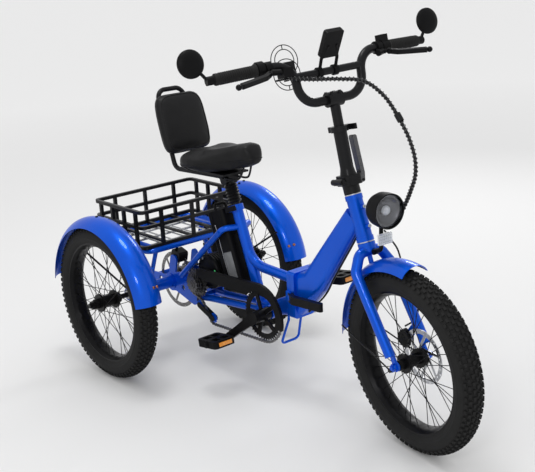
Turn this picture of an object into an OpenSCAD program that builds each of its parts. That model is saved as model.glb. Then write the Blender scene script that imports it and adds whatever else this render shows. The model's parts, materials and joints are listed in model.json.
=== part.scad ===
// Folding electric tricycle for an adult.
// X runs forward, Y to the rider's left, Z up. The origin is on the ground, under the middle.
// Everything is placed from the rear axle, and what steers is drawn straight ahead and then turned.

/* [Overall] */
// Distance from the rear axle to the front axle
wheelbase = 1090; // [1040:5:1200]
// Distance between the middles of the two rear tyres
track = 628; // [600:2:720]
// Turn of the steering, negative to the rider's right
steer_angle = -10; // [-20:1:20]
// Direction of the right crank arm, counted from straight ahead and upwards
crank_angle = 216; // [200:1:230]

/* [Wheels] */
// Outer diameter of the tyres over the tread
tyre_od = 536; // [500:2:560]
// Width of the tyres
tyre_w = 76; // [66:1:84]
// Height of the tread blocks
tread_h = 5; // [3:0.5:7]
// Tread blocks in each row around the tyre
tread_count = 48; // [36:4:60]
// Diameter on which the tyre bead sits
bead_d = 406; // [396:2:416]
// Width of the rim between its flanges
rim_inside_w = 50; // [44:1:54]
// Depth of the rim from its bed to its inner edge
rim_depth = 13; // [10:1:18]
// Spokes in each wheel
spoke_count = 36; // [28:4:36]
// Thickness of a spoke
spoke_d = 2.2; // [1.8:0.1:2.6]
// Diameter of the front brake rotor
front_rotor_d = 160; // [140:10:180]
// Diameter of the rear brake rotor
rear_rotor_d = 203; // [160:1:203]
// Thickness of the brake rotors
rotor_t = 2; // [1.8:0.1:2.4]

/* [Frame] */
// Angle of the head tube from the ground
head_angle = 71.3; // [69:0.1:73]
// Distance of the lower end of the head tube ahead of the rear axle
head_base_x = 916; // [900:1:940]
// Height of the lower end of the head tube
head_base_z = 576; // [560:1:600]
// Length of the head tube
head_tube_len = 134; // [120:1:150]
// Diameter of the head tube
head_tube_d = 46; // [44:1:52]
// Distance of the fold hinge ahead of the rear axle
hinge_x = 630; // [615:1:645]
// Height of the lower edge of the hinge plates
hinge_low_z = 284; // [276:1:292]
// Height of the hinge plates
hinge_h = 148; // [130:1:160]
// Width of the hinge plates
hinge_w = 80; // [72:1:90]
// Thickness of each hinge plate
hinge_t = 16; // [12:1:20]
// Diameter of the hinge pin
hinge_pin_d = 10; // [8:0.5:12]
// Distance of the bottom bracket ahead of the rear axle
bb_x = 515; // [500:1:530]
// Height of the bottom bracket
bb_z = 274; // [264:1:284]
// Angle of the seat tube from the ground
seat_tube_angle = 71.4; // [70:0.1:73]
// Distance of the foot of the seat tube ahead of the rear axle
seat_foot_x = 444; // [435:1:455]
// Length of the seat tube
seat_tube_len = 334; // [310:1:350]
// Diameter of the seat tube
seat_tube_d = 36; // [34:0.5:40]
// Diameter of the seat stays
seat_stay_d = 20; // [18:0.5:22]
// Diameter of the chain stays
chain_stay_d = 22; // [19:0.5:24]
// Distance of the axle plates from the middle
plate_y = 46; // [44:1:50]
// Thickness of the axle plates
plate_t = 6; // [5:0.5:8]
// Diameter of the axle tubes
axle_tube_d = 42; // [40:1:46]

/* [Axle and drive] */
// Diameter of the rear half-shafts
shaft_d = 17; // [15:0.5:20]
// Distance of the jackshaft ahead of the rear axle
jack_x = 165; // [160:1:172]
// Height of the jackshaft
jack_z = 300; // [296:1:306]
// Chain pitch
pitch = 12.7; // [12.7]
// Teeth of the chainring
ring_teeth = 44; // [40:4:44]
// Teeth of the cassette sprocket that the chain runs on
cog_teeth = 20; // [18:1:21]
// Teeth of the derailleur pulleys
pulley_teeth = 11; // [10:1:12]
// Teeth of the jackshaft's output sprocket
output_teeth = 16; // [14:1:18]
// Teeth of the sprocket on the differential
axle_teeth = 24; // [22:1:26]
// Distance of the crank chain to the right of the middle
chain_y = 62; // [60:1:66]
// Distance of the axle chain to the left of the middle
axle_chain_y = 32; // [30:1:33]
// Length of the crank arms
crank_len = 168; // [160:1:172]
// Diameter of the crank spindle
spindle_d = 20; // [18:0.5:24]
// Diameter of the pedal spindles
pedal_pin_d = 12; // [10:0.5:14]
// Diameter of the motor
motor_d = 120; // [110:2:124]
// Width of the motor
motor_w = 62; // [54:1:64]

/* [Steering] */
// Diameter of the steerer
steerer_d = 28.6; // [25.4:0.1:31.8]
// Diameter of the fork legs
fork_leg_d = 30; // [26:1:34]
// Distance of the fork legs from the middle
fork_leg_y = 62; // [60:1:68]
// Diameter of the front axle
front_axle_d = 12; // [10:0.5:15]
// Lean of the stem from upright
stem_lean = 10.8; // [8:0.1:13]
// Height of the stem's fold above the top of the head tube
stem_base_h = 44; // [38:1:50]
// Diameter of the stem tube
stem_d = 38; // [36:0.5:44]
// Length of the stem tube up to its collar
stem_len = 136; // [120:1:150]
// Diameter of the riser post
riser_d = 28.6; // [25.4:0.1:31.8]
// Diameter of the handlebar
bar_d = 25.4; // [22.2:0.1:25.4]
// Height of the middle of the handlebar above the stem's fold
bar_low_h = 228; // [220:1:240]
// Height of the grips above the stem's fold
bar_high_h = 344; // [335:1:355]
// Distance of the riser bends of the bar from the middle
riser_y = 110; // [105:1:118]
// Half of the handlebar's width
bar_half_w = 340; // [325:1:350]
// Diameter of the headlight
lamp_d = 98; // [90:1:104]

/* [Seat] */
// Diameter of the seat post
post_d = 28.6; // [27.2:0.1:30]
// Length of the saddle
saddle_len = 286; // [270:1:300]
// Width of the saddle
saddle_w = 250; // [230:1:265]
// Height of the saddle's sides
saddle_h = 72; // [64:1:80]
// Rise of the saddle's underside towards the nose
saddle_lift = 40; // [20:1:48]
// Width of the backrest pad
pad_w = 190; // [170:1:205]
// Height of the backrest pad
pad_h = 196; // [180:1:210]
// Thickness of the backrest pad
pad_t = 52; // [40:1:60]

/* [Carrier] */
// Height of the carrier's rails
rack_z = 428; // [422:1:436]
// Width of the carrier
rack_w = 384; // [370:2:396]
// Distance of the rear of the carrier behind the rear axle
rack_back = 196; // [185:1:205]
// Distance of the front of the carrier ahead of the rear axle
rack_front = 96; // [85:1:100]
// Diameter of the carrier's tubes
rack_d = 19; // [16:1:22]
// Height of the basket
basket_h = 132; // [115:1:145]
// Thickness of the basket's bars
basket_bar = 11; // [9:0.5:13]
// Width of the fenders
fender_w = 100; // [94:1:106]
// Gap between the tread and the crown of a fender
fender_gap = 24; // [20:1:30]
// Thickness of the fender sheet
fender_t = 2; // [1.5:0.1:3]

/* [Battery] */
// Length of the battery along the seat tube
battery_len = 262; // [240:1:275]
// Depth of the battery behind the seat tube
battery_depth = 84; // [74:1:90]
// Width of the battery
battery_w = 76; // [66:1:78]

/* [Hidden] */
$fn = 48;

// Clearances: a shaft in its bore, faces that move past each other, and a clamped joint
run_gap = 0.05;
move_gap = 0.3;
seat_gap = 0.1;

paint = "#0b35d8";
black = "#17181a";
satin = "#26272a";
bright = "#c9ccd0";
rubber = "#1d1e20";

axle_z = tyre_od / 2;
wheel_y = track / 2;
front_reach = wheelbase + tyre_od / 2;
fender_r = tyre_od / 2 + fender_gap;
rear_axle_x = (fender_r - front_reach) / 2;

function unit(v) = v / norm(v);
function turned(v, axis, a) = v * cos(a) + cross(axis, v) * sin(a) + axis * (axis * v) * (1 - cos(a));
function chain_r(teeth) = pitch / (2 * sin(180 / teeth));
function mirrored(path) = [for (p = path) [p[0], -p[1], p[2]]];

head_dir = [-cos(head_angle), 0, sin(head_angle)];
head_base = [head_base_x, 0, head_base_z];
head_top = head_base + head_dir * head_tube_len;
front_axle = [wheelbase, 0, axle_z];
stem_root = head_top + head_dir * stem_base_h;
seat_dir = [-cos(seat_tube_angle), 0, sin(seat_tube_angle)];
seat_foot = [seat_foot_x, 0, bb_z];
seat_top = seat_foot + seat_dir * seat_tube_len;
bb = [bb_x, 0, bb_z];
jack = [jack_x, 0, jack_z];
hinge_pin_y = hinge_w / 2 + hinge_pin_d + 2;

// Frames of reference
module trike() translate([rear_axle_x, 0, 0]) children();
module about(p, axis, a) translate(p) rotate(a, axis) translate(-p) children();
module steered() trike() about(head_base, head_dir, steer_angle) children();
module along_head(p) translate(p) rotate([0, head_angle - 90, 0]) children();
module on_stem() steered() translate(stem_root) rotate([0, -stem_lean, 0]) children();
module along_seat(p) translate(p) rotate([0, seat_tube_angle - 90, 0]) children();
module crosswise(p) translate(p) rotate([90, 0, 0]) children();
module flipped(yes) {
  if (yes) mirror([0, 1, 0]) children();
  else children();
}

// A straight round bar between two points
module bar(p, q, d) along(p, q - p) cylinder(d = d, h = norm(q - p));

// Puts the z axis of what it holds along v, from p on
module along(p, v) translate(p) rotate([0, acos(v[2] / norm(v)), atan2(v[1], v[0])]) children();

// A quick-release lever that turns about z, with a slot for the lug that carries it
module quick_lever(path, w, h, slot_h, slot_r, pin_d) difference() {
  translate([0, 0, -h / 2]) linear_extrude(h)
    for (i = [0 : len(path) - 2]) link_plate(path[i], path[i + 1], w / 2);
  translate([0, 0, -slot_h / 2]) cylinder(r = slot_r, h = slot_h);
  translate([0, 0, -h]) cylinder(d = pin_d + 2 * run_gap, h = 2 * h);
}

// The lug and pin that such a lever turns on
module lever_post(h, slot_h, lug_r, pin_d) {
  translate([0, 0, -h / 2]) cylinder(d = pin_d, h = h);
  translate([0, 0, -slot_h / 2 + move_gap]) cylinder(r = lug_r, h = slot_h - 2 * move_gap);
}

// A closed form through a list of rings that all have the same number of points
module loft(rings) {
  n = len(rings[0]);
  last = len(rings) - 1;
  polyhedron(
    [for (r = rings) each r],
    concat(
      [[for (k = [n - 1 : -1 : 0]) k], [for (k = [0 : n - 1]) last * n + k]],
      [for (i = [0 : last - 1], k = [0 : n - 1])
        let (m = (k + 1) % n)
          each [[i * n + k, i * n + m, (i + 1) * n + m], [i * n + k, (i + 1) * n + m, (i + 1) * n + k]]]
    )
  );
}
function rounded(c, power) = sign(c) * pow(abs(c), power);

// Length of tube that a bend of radius r takes from each side of corner i
function bend_trim(path, r, i) =
  i <= 0 || i >= len(path) - 1 ? 0 :
  r * tan(acos(unit(path[i] - path[i - 1]) * unit(path[i + 1] - path[i])) / 2);

// A round tube along a path, with bends of radius r and a thin bead at each end of a bend
weld = 0.2;
weld_w = 2;
module bent_tube(path, d, r) {
  for (i = [0 : len(path) - 2]) {
    u = unit(path[i + 1] - path[i]);
    from = i == 0 ? 0 : bend_trim(path, r, i) + weld;
    to = i == len(path) - 2 ? 0 : bend_trim(path, r, i + 1) + weld;
    bar(path[i] + u * from, path[i + 1] - u * to, d);
  }
  for (i = [1 : 1 : len(path) - 2]) {
    a = unit(path[i] - path[i - 1]);
    b = unit(path[i + 1] - path[i]);
    n = unit(cross(a, b));
    m = cross(n, a);
    start = path[i] - a * bend_trim(path, r, i);
    c = start + m * r;
    multmatrix([
      [-m[0], a[0], n[0], c[0]],
      [-m[1], a[1], n[1], c[1]],
      [-m[2], a[2], n[2], c[2]]
    ])
      rotate_extrude(angle = acos(a * b)) translate([r, 0]) circle(d = d);
    along(start - a * weld_w / 2, a) cylinder(d = d + 2 * weld, h = weld_w);
    along(path[i] + b * (bend_trim(path, r, i) - weld_w / 2), b) cylinder(d = d + 2 * weld, h = weld_w);
  }
}

// A rectangle with round corners, centred
module round_rect(w, h, r) {
  square([w - 2 * r, h], center = true);
  square([w, h - 2 * r], center = true);
  for (x = [-1, 1], y = [-1, 1]) translate([x * (w / 2 - r), y * (h / 2 - r)]) circle(r = r);
}

// A plate with round ends between two points of its plane, a hair narrower than its ends
module link_plate(p, q, r) {
  half = 0.995 * r;
  translate(p) circle(r = r);
  translate(q) circle(r = r);
  translate(p) rotate(atan2(q[1] - p[1], q[0] - p[0])) translate([0, -half]) square([norm(q - p), 2 * half]);
}

module ring(od, id, h) {
  difference() {
    cylinder(d = od, h = h);
    translate([0, 0, -1]) cylinder(d = id, h = h + 2);
  }
}

// A tube of a few sides swept along a list of points, for cables
module cable(path, d, sides) {
  last = len(path) - 1;
  function way(i) = unit(path[min(i + 1, last)] - path[max(i - 1, 0)]);
  function side(i) = unit(cross(way(i), abs(way(i)[1]) > 0.9 ? [1, 0, 0] : [0, 1, 0]));
  points = [
    for (i = [0 : last], k = [0 : sides - 1])
      path[i] + (side(i) * cos(360 * k / sides) + cross(way(i), side(i)) * sin(360 * k / sides)) * d / 2
  ];
  walls = [
    for (i = [0 : last - 1], k = [0 : sides - 1])
      let (n = (k + 1) % sides)
        each [[i * sides + k, (i + 1) * sides + k, (i + 1) * sides + n],
              [i * sides + k, (i + 1) * sides + n, i * sides + n]]
  ];
  ends = [[for (k = [0 : sides - 1]) k], [for (k = [sides - 1 : -1 : 0]) last * sides + k]];
  polyhedron(points, concat(walls, ends));
}

// Points between the hand-chosen ones, on a smooth curve through them
function smooth(path, steps) = [
  for (i = [0 : len(path) - 2], s = [0 : steps - 1])
    let (
      t = s / steps,
      p0 = path[max(i - 1, 0)], p1 = path[i], p2 = path[i + 1], p3 = path[min(i + 2, len(path) - 1)]
    )
      p1 + (p2 - p0) * t / 2 + (2 * p0 - 5 * p1 + 4 * p2 - p3) * t * t / 2
        + (3 * p1 - p0 - 3 * p2 + p3) * t * t * t / 2,
  path[len(path) - 1]
];

// Wheels. In a wheel's own frame z is its axle: outwards at the rear, to the right at the front
carcass_r = tyre_od / 2 - tread_h;
section_r = tyre_w / 2 - 2;
section_mid = carcass_r - section_r;
bed_r = bead_d / 2;
flange_h = 6;
flange_t = 2.5;
spoke_split = 2.6;
spoke_seat = 4;
hub_flange_t = 7.4;
hub_flange_rim = 4;
rear_flange_z = 28;
rear_flange_r = 27;
rear_hub_z = 48;
front_flange_z = 25;
front_flange_r = 24;
front_hub_z = 48;
front_rotor_y = 40;
wheel_nut_d = 28;

module at_rear_wheel(left) {
  trike() translate([0, left ? wheel_y : -wheel_y, axle_z]) rotate([left ? -90 : 90, 0, 0]) children();
}
module at_front_wheel() steered() crosswise(front_axle) children();

module tyre() {
  block_l = 9;
  block_w = 11;
  centre_z = 8.5;
  shoulder = 42;
  sunk = 4;
  rotate_extrude($fn = 96) difference() {
    translate([section_mid, 0]) circle(r = section_r);
    translate([0, -tyre_w]) square([bed_r + seat_gap, 2 * tyre_w]);
    for (s = [-1, 1])
      translate([bed_r - 1, s > 0 ? rim_inside_w / 2 - seat_gap : -tyre_w - rim_inside_w / 2 + seat_gap])
        square([flange_h + 1 + seat_gap, tyre_w]);
  }
  for (i = [0 : tread_count - 1], s = [-1, 1]) {
    rotate(i * 360 / tread_count)
      translate([carcass_r - sunk, -block_l / 2, s * centre_z - block_w / 2])
        cube([tread_h + sunk - seat_gap, block_l, block_w]);
    rotate((i + 0.5) * 360 / tread_count)
      translate([section_mid, 0, 0]) rotate([0, -s * shoulder, 0])
        translate([section_r - sunk, -block_l / 2, -block_w / 2])
          cube([tread_h + sunk - 1, block_l, block_w]);
  }
}

module rim() {
  hw = rim_inside_w / 2;
  rotate_extrude($fn = 96) polygon([
    [bed_r, -hw], [bed_r + flange_h, -hw], [bed_r + flange_h, -hw - flange_t], [bed_r - 3, -hw - flange_t],
    [bed_r - rim_depth, -hw / 2], [bed_r - rim_depth, hw / 2],
    [bed_r - 3, hw + flange_t], [bed_r + flange_h, hw + flange_t], [bed_r + flange_h, hw], [bed_r, hw]
  ]);
}

// Spokes laced three-cross: every second spoke leads and the others trail
module spokes(flange_z, flange_r) {
  half = spoke_count / 2;
  step = 360 / half;
  reach = 2.75 * step;
  rim_r = bed_r - rim_depth + spoke_seat;
  for (k = [0 : half - 1], s = [-1, 1]) {
    lead = k % 2 == 0 ? 1 : -1;
    a = (k + (s > 0 ? 1 : 0)) * step;
    b = a + lead * reach;
    bar(
      [flange_r * cos(a), flange_r * sin(a), s * (flange_z + lead * spoke_split / 2)],
      [rim_r * cos(b), rim_r * sin(b), s * spoke_seat],
      spoke_d
    );
  }
}

module laced_wheel(flange_z, flange_r, shell_d, hub_z, end_d, bore) {
  difference() {
    union() {
      rim();
      spokes(flange_z, flange_r);
      translate([0, 0, -flange_z]) cylinder(d = shell_d, h = 2 * flange_z);
      for (s = [-1, 1])
        translate([0, 0, s * flange_z - hub_flange_t / 2])
          cylinder(r = flange_r + hub_flange_rim, h = hub_flange_t);
      translate([0, 0, -hub_z]) cylinder(d = end_d, h = 2 * hub_z);
    }
    translate([0, 0, -hub_z - 1]) cylinder(d = bore, h = 2 * hub_z + 2);
  }
}

// A brake rotor: a drilled band on slanted arms round a bolted ring
module rotor(d) {
  band = 14;
  hub_r = 26;
  hole_d = 5;
  arm_w = 8;
  arms = 6;
  holes = 30;
  linear_extrude(rotor_t) difference() {
    union() {
      difference() {
        circle(d = d);
        circle(d = d - 2 * band);
      }
      circle(r = hub_r);
      for (i = [0 : arms - 1])
        rotate(i * 360 / arms) translate([0, hub_r - arm_w]) square([d / 2 - band / 2, arm_w]);
    }
    circle(d = rotor_bore);
    for (i = [0 : arms - 1]) rotate((i + 0.5) * 360 / arms) translate([rotor_bolt_r, 0]) circle(d = hole_d);
    for (i = [0 : holes - 1])
      rotate(i * 360 / holes) translate([d / 2 - (i % 2 == 0 ? 4.2 : 9.8), 0]) circle(d = hole_d);
  }
}
rotor_bore = 34;
rotor_bolt_r = 22;

diff_y = 8;
shaft_end_gap = 4;
shaft_out = 70;

module rear_wheel(left) {
  inner = left ? diff_y + shaft_end_gap / 2 : -diff_y + shaft_end_gap / 2;
  nut_h = 14;
  at_rear_wheel(left) {
    laced_wheel(rear_flange_z, rear_flange_r, 40, rear_hub_z, 34, shaft_d + 2 * run_gap);
    translate([0, 0, inner - wheel_y]) cylinder(d = shaft_d, h = wheel_y - inner + shaft_out);
    translate([0, 0, rear_hub_z + seat_gap]) difference() {
      cylinder(d = wheel_nut_d, h = nut_h, $fn = 6);
      translate([0, 0, -1]) cylinder(d = shaft_d + 2 * run_gap, h = nut_h + 2);
    }
  }
}
module right_rear_wheel() color(black) rear_wheel(false);
module left_rear_wheel() color(black) rear_wheel(true);
module right_rear_tyre() color(rubber) at_rear_wheel(false) tyre();
module left_rear_tyre() color(rubber) at_rear_wheel(true) tyre();
module front_tyre() color(rubber) at_front_wheel() tyre();

module front_wheel() color(black) at_front_wheel() {
  bore = front_axle_d + 2 * run_gap;
  laced_wheel(front_flange_z, front_flange_r, 34, front_hub_z, 30, bore);
  translate([0, 0, -front_rotor_y]) ring(2 * rotor_bolt_r + 8, bore, 12);
  translate([0, 0, -front_rotor_y - rotor_t - 1]) ring(rotor_bore - 2 * seat_gap, bore, 8);
}
module front_rotor() color(bright) at_front_wheel() translate([0, 0, -front_rotor_y - rotor_t]) rotor(front_rotor_d);

// Rear frame half
box_h = 72;
box_w = 52;
upper_tube_d = 32;
upper_tube_z = 394;
shell_d = 44;
shell_w = 72;
stay_bend = [330, 56, 520];
stay_foot = [78, plate_y + plate_t / 2 + seat_stay_d / 2 - 1, 308];
chain_stay_y = 30;
chain_stay_foot = [148, plate_y - 7, 242];
front_cross = [128, 232];
rear_cross = [-116, 262];
cross_d = 20;
inner_bearing_d = 40;
outer_bearing_d = 35;
bearing_w = 12;
boss_d = 56;
axle_tube_end = 232;
shaft_room_d = 24;
collar_d = 46;
collar_h = 20;
collar_ear = [18, 20, collar_h];
clamp_pin_d = 6;
stand_d = 8;
stand_low_z = 182;
caliper_ear = [22, 352];
hinge_lug_h = hinge_h * 0.22;
lug_d = 2 * (hinge_pin_y - hinge_w / 2) - 2 * move_gap - 1;

clamp_reach = 22;
clamp_lever_h = 17;
clamp_slot_h = 11;

function seat_at(t) = seat_foot + seat_dir * t;
module at_seat_clamp() along_seat(seat_at(seat_tube_len - collar_h / 2))
  translate([-collar_d / 2 - 2, -clamp_reach, 0]) children();

module axle_plate() {
  window_d = 20;
  difference() {
    union() {
      link_plate([0, axle_z], [jack_x, jack_z], 34);
      link_plate([0, axle_z], rear_cross, 20);
      link_plate([0, axle_z], caliper_ear, 18);
      link_plate([0, axle_z], front_cross, 22);
      link_plate(front_cross, [chain_stay_foot[0], chain_stay_foot[2]], 22);
      link_plate([chain_stay_foot[0], chain_stay_foot[2]], [jack_x, jack_z], 22);
      link_plate([chain_stay_foot[0], chain_stay_foot[2]], hanger_at, 13);
      polygon([[0, axle_z], [jack_x, jack_z], front_cross]);
    }
    circle_at([jack_x, jack_z], jack_room_d);
    circle_at([70, axle_z - 8], window_d);
    circle_at([100, axle_z + 22], window_d);
    circle_at([-66, axle_z - 2], window_d);
  }
}
module circle_at(p, d) translate(p) circle(d = d);
jack_room_d = 34;

// One half of the fold hinge's flange: a plate across the frame
module hinge_plate(x) {
  translate([x, 0, hinge_low_z + hinge_h / 2]) rotate([0, 90, 0])
    linear_extrude(hinge_t - move_gap) round_rect(hinge_h, hinge_w, 10);
}

// A knuckle of the fold hinge, joined to its plate on one side of the hinge plane
module knuckle(z, h, front) {
  translate([hinge_x, hinge_pin_y, z]) cylinder(d = lug_d, h = h);
  translate([front ? hinge_x + move_gap : hinge_x - hinge_t, hinge_w / 2 - 12, z])
    cube([hinge_t - move_gap, hinge_pin_y - hinge_w / 2 + 12, h]);
}

module loop_stand() {
  leg = [598, 24, hinge_low_z + 20];
  knee = [598, 26, hinge_low_z - 16];
  foot = [568, 36, stand_low_z];
  path = [leg, knee, foot];
  bent_tube(concat(mirrored(path), [path[2], path[1], path[0]]), stand_d, 14);
}

module rear_frame() color(paint) trike() {
  difference() {
    union() {
      along_seat(seat_foot) cylinder(d = seat_tube_d, h = seat_tube_len);
      along_seat(seat_at(seat_tube_len - collar_h)) {
        cylinder(d = collar_d, h = collar_h);
        translate([-collar_d / 2 - collar_ear[0] / 2, -collar_ear[1] / 2, 0])
          cube([collar_ear[0] / 2 + 8, collar_ear[1], collar_h]);
      }
      bent_tube([seat_at(236), seat_at(138), [hinge_x - hinge_t / 2, 0, upper_tube_z]], upper_tube_d, 90);
      hull() {
        translate([hinge_x - hinge_t + 2, 0, hinge_low_z + box_h / 2]) rotate([0, -90, 0])
          linear_extrude(2) round_rect(box_h, box_w, 12, $fn = 32);
        translate([bb_x - 6, 0, bb_z + 8]) rotate([0, -90, 0])
          linear_extrude(2) round_rect(shell_d, box_w - 8, 12, $fn = 32);
      }
      bar(bb, seat_foot - [10, 0, 0], seat_tube_d + 4);
      crosswise(bb + [0, shell_w / 2, 0]) cylinder(d = shell_d, h = shell_w);
      for (left = [false, true]) flipped(!left) {
        bent_tube([seat_at(262), stay_bend, stay_foot], seat_stay_d, 26);
        bent_tube([bb + [-30, chain_stay_y, -2], [chain_stay_foot[0] + 70, chain_stay_y, 248], chain_stay_foot],
          chain_stay_d, 60);
        crosswise([0, plate_y + plate_t / 2, 0]) linear_extrude(plate_t) axle_plate();
        crosswise([0, plate_y + bearing_w / 2, axle_z]) cylinder(d = boss_d, h = bearing_w);
        crosswise([0, axle_tube_end, axle_z]) cylinder(d = axle_tube_d, h = axle_tube_end - plate_y);
      }
      for (c = [front_cross, rear_cross])
        crosswise([c[0], plate_y, c[1]]) cylinder(d = cross_d, h = 2 * plate_y);
      hinge_plate(hinge_x - hinge_t);
      for (z = [hinge_low_z, hinge_low_z + hinge_h - hinge_lug_h]) knuckle(z, hinge_lug_h, false);
      translate([hinge_x - hinge_t, -hinge_w / 2 - 6, hinge_low_z + hinge_h / 2 - 14])
        cube([hinge_t - move_gap, 14, 28]);
      at_seat_clamp() {
        lever_post(clamp_lever_h, clamp_slot_h, 5, clamp_pin_d);
        bar([0, 0, 0], [0, 2 * clamp_reach - 4, 0], clamp_pin_d);
      }
      loop_stand();
    }
    along_seat(seat_at(60)) cylinder(d = post_d + 2 * run_gap, h = seat_tube_len);
    along_seat(seat_at(seat_tube_len - collar_h - 30)) translate([-collar_d, -1.5, 0])
      cube([collar_d, 3, collar_h + 40]);
    crosswise(bb + [0, shell_w, 0]) cylinder(d = spindle_d + 2 * run_gap, h = 2 * shell_w);
    for (left = [false, true]) flipped(!left) {
      crosswise([0, axle_tube_end + 1, axle_z]) cylinder(d = shaft_room_d, h = axle_tube_end);
      crosswise([0, axle_tube_end + 1, axle_z]) cylinder(d = outer_bearing_d + seat_gap, h = bearing_w + 2);
      crosswise([0, plate_y + bearing_w / 2, axle_z]) cylinder(d = inner_bearing_d + seat_gap, h = bearing_w + 20);
    }
    translate([hinge_x, hinge_pin_y, hinge_low_z - 1]) cylinder(d = hinge_pin_d + 2 * run_gap, h = hinge_h + 2);
  }
}

module axle_bearings() color(bright) trike() {
  for (left = [false, true]) flipped(!left) {
    crosswise([0, plate_y + bearing_w / 2, axle_z]) ring(inner_bearing_d, shaft_d + 2 * run_gap, bearing_w);
    crosswise([0, axle_tube_end, axle_z]) ring(outer_bearing_d, shaft_d + 2 * run_gap, bearing_w);
  }
}

// Carrier, basket and rear fenders
rack_post_y = 150;
rack_clamp_d = 60;
rack_clamp_w = 28;
rod_d = 6;
basket_x = [-rack_back - 6, rack_front];
basket_w = rack_w + 38;
basket_z = rack_z + rack_d / 2 + seat_gap;

module rear_rack() color(paint) trike() {
  hw = rack_w / 2;
  mid_d = rack_d - 3;
  difference() {
    union() {
      bent_tube([
        [rack_front, 0, rack_z], [rack_front, hw, rack_z], [-rack_back, hw, rack_z],
        [-rack_back, -hw, rack_z], [rack_front, -hw, rack_z], [rack_front, 0, rack_z]
      ], rack_d, 32);
      for (s = [-1, 1]) {
        bar([-rack_back, s * rack_post_y, rack_z], [rack_front, s * rack_post_y, rack_z], mid_d);
        for (x = [-1, 1])
          bar([x * 78, s * rack_post_y, rack_z], [x * 14, s * rack_post_y, axle_z + 14], mid_d - 1);
        crosswise([0, s * rack_post_y + rack_clamp_w / 2, axle_z]) cylinder(d = rack_clamp_d, h = rack_clamp_w);
      }
      color(bright) for (y = [-100, -50, 0, 50, 100])
        bar([-rack_back, y, rack_z], [rack_front, y, rack_z], rod_d);
      color(bright) for (x = [-130, -50, 30])
        bar([x, -rack_post_y, rack_z], [x, rack_post_y, rack_z], rod_d + 2);
    }
    for (s = [-1, 1])
      crosswise([0, s * rack_post_y + rack_clamp_w, axle_z])
        cylinder(d = axle_tube_d + 2 * seat_gap, h = 2 * rack_clamp_w);
  }
}

module basket() color(black) trike() {
  len_x = basket_x[1] - basket_x[0];
  mid_x = (basket_x[0] + basket_x[1]) / 2;
  inset = basket_bar / 2;
  levels = [0, basket_h * 0.52, basket_h - basket_bar];
  translate([mid_x, 0, basket_z]) {
    for (z = levels) translate([0, 0, z]) linear_extrude(basket_bar) difference() {
      round_rect(len_x, basket_w, 22);
      round_rect(len_x - 2 * basket_bar, basket_w - 2 * basket_bar, 22 - basket_bar);
    }
    for (s = [-1, 1]) {
      for (x = [-0.36, -0.12, 0.12, 0.36])
        translate([x * len_x - inset, s * (basket_w / 2 - inset) - inset, inset])
          cube([basket_bar, basket_bar, basket_h - basket_bar]);
      for (y = [-0.3, 0, 0.3])
        translate([s * (len_x / 2 - inset) - inset, y * basket_w - inset, inset])
          cube([basket_bar, basket_bar, basket_h - basket_bar]);
    }
    for (y = [-0.25, 0, 0.25])
      translate([-len_x / 2 + inset, y * basket_w - inset, 0]) cube([len_x - 2 * inset, basket_bar, basket_bar - 3]);
  }
}

// A fender's section is an arc of sheet, swept round the wheel's axle between two angles
module fender_arc(width, from, to) {
  crown_r = width * 0.56;
  drop = crown_r - sqrt(crown_r * crown_r - width * width / 4);
  rotate(from) rotate_extrude(angle = to - from, $fn = 96) intersection() {
    translate([fender_r - crown_r, 0]) difference() {
      circle(r = crown_r);
      circle(r = crown_r - fender_t);
    }
    translate([fender_r - drop, -width]) square([2 * drop, 2 * width]);
  }
}

fender_stay_d = 7;
fender_collar_w = 10;
fender_stay_angles = [34, 92, 150];

// The fender is held by three stays on a collar round the end of the axle tube
module rear_fender(left) trike() flipped(!left) {
  edge_y = wheel_y - fender_w / 2 + fender_t;
  foot_y = axle_tube_end - fender_collar_w / 2 - 8;
  crosswise([0, wheel_y, axle_z]) fender_arc(fender_w, 10, 172);
  color(black) for (a = fender_stay_angles)
    bar(
      [25 * cos(a), foot_y, axle_z + 25 * sin(a)],
      [(fender_r - 24) * cos(a), edge_y, axle_z + (fender_r - 24) * sin(a)],
      fender_stay_d
    );
  color(black) crosswise([0, foot_y + fender_collar_w / 2, axle_z])
    ring(axle_tube_d + 14, axle_tube_d + 2 * seat_gap, fender_collar_w);
}
module right_rear_fender() color(paint) rear_fender(false);
module left_rear_fender() color(paint) rear_fender(true);

// Battery on its dock behind the seat tube, and the motor above the jackshaft
dock_t = 18;
dock_w = 34;
dock_from = 76;
dock_to = 244;
battery_from = 70;
battery_front = seat_tube_d / 2 + dock_t;
motor_centre = [212, 345];
motor_left_y = 22;
case_r = 30;

module battery_dock() color(satin) trike() {
  difference() {
    along_seat(seat_at(dock_from)) translate([-battery_front + move_gap, -dock_w / 2, 0])
      cube([dock_t + 8, dock_w, dock_to - dock_from]);
    along_seat(seat_at(0)) cylinder(d = seat_tube_d + 2 * seat_gap, h = seat_tube_len);
  }
}

module battery_pack() trike() along_seat(seat_at(battery_from)) {
  panel = [44, 1.6, 108];
  panel_at = [-battery_front - 50, -battery_w / 2, 14];
  groove = 3;
  mid_x = -battery_front - battery_depth / 2;
  color(black) difference() {
    union() {
      translate([mid_x, 0, 0]) linear_extrude(battery_len) round_rect(battery_depth, battery_w, 12);
      translate([mid_x - 8, 0, battery_len - 1]) bent_tube(
        [[0, -22, 0], [0, -22, 22], [0, 22, 22], [0, 22, 0]], 9, 9);
    }
    translate(panel_at) cube(panel);
    for (s = [-1, 1])
      translate([mid_x - 16, s * battery_w / 2 - groove / 2, -1]) cube([groove, groove, battery_len + 2]);
  }
  color(bright) translate(panel_at) cube(panel);
}

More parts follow.
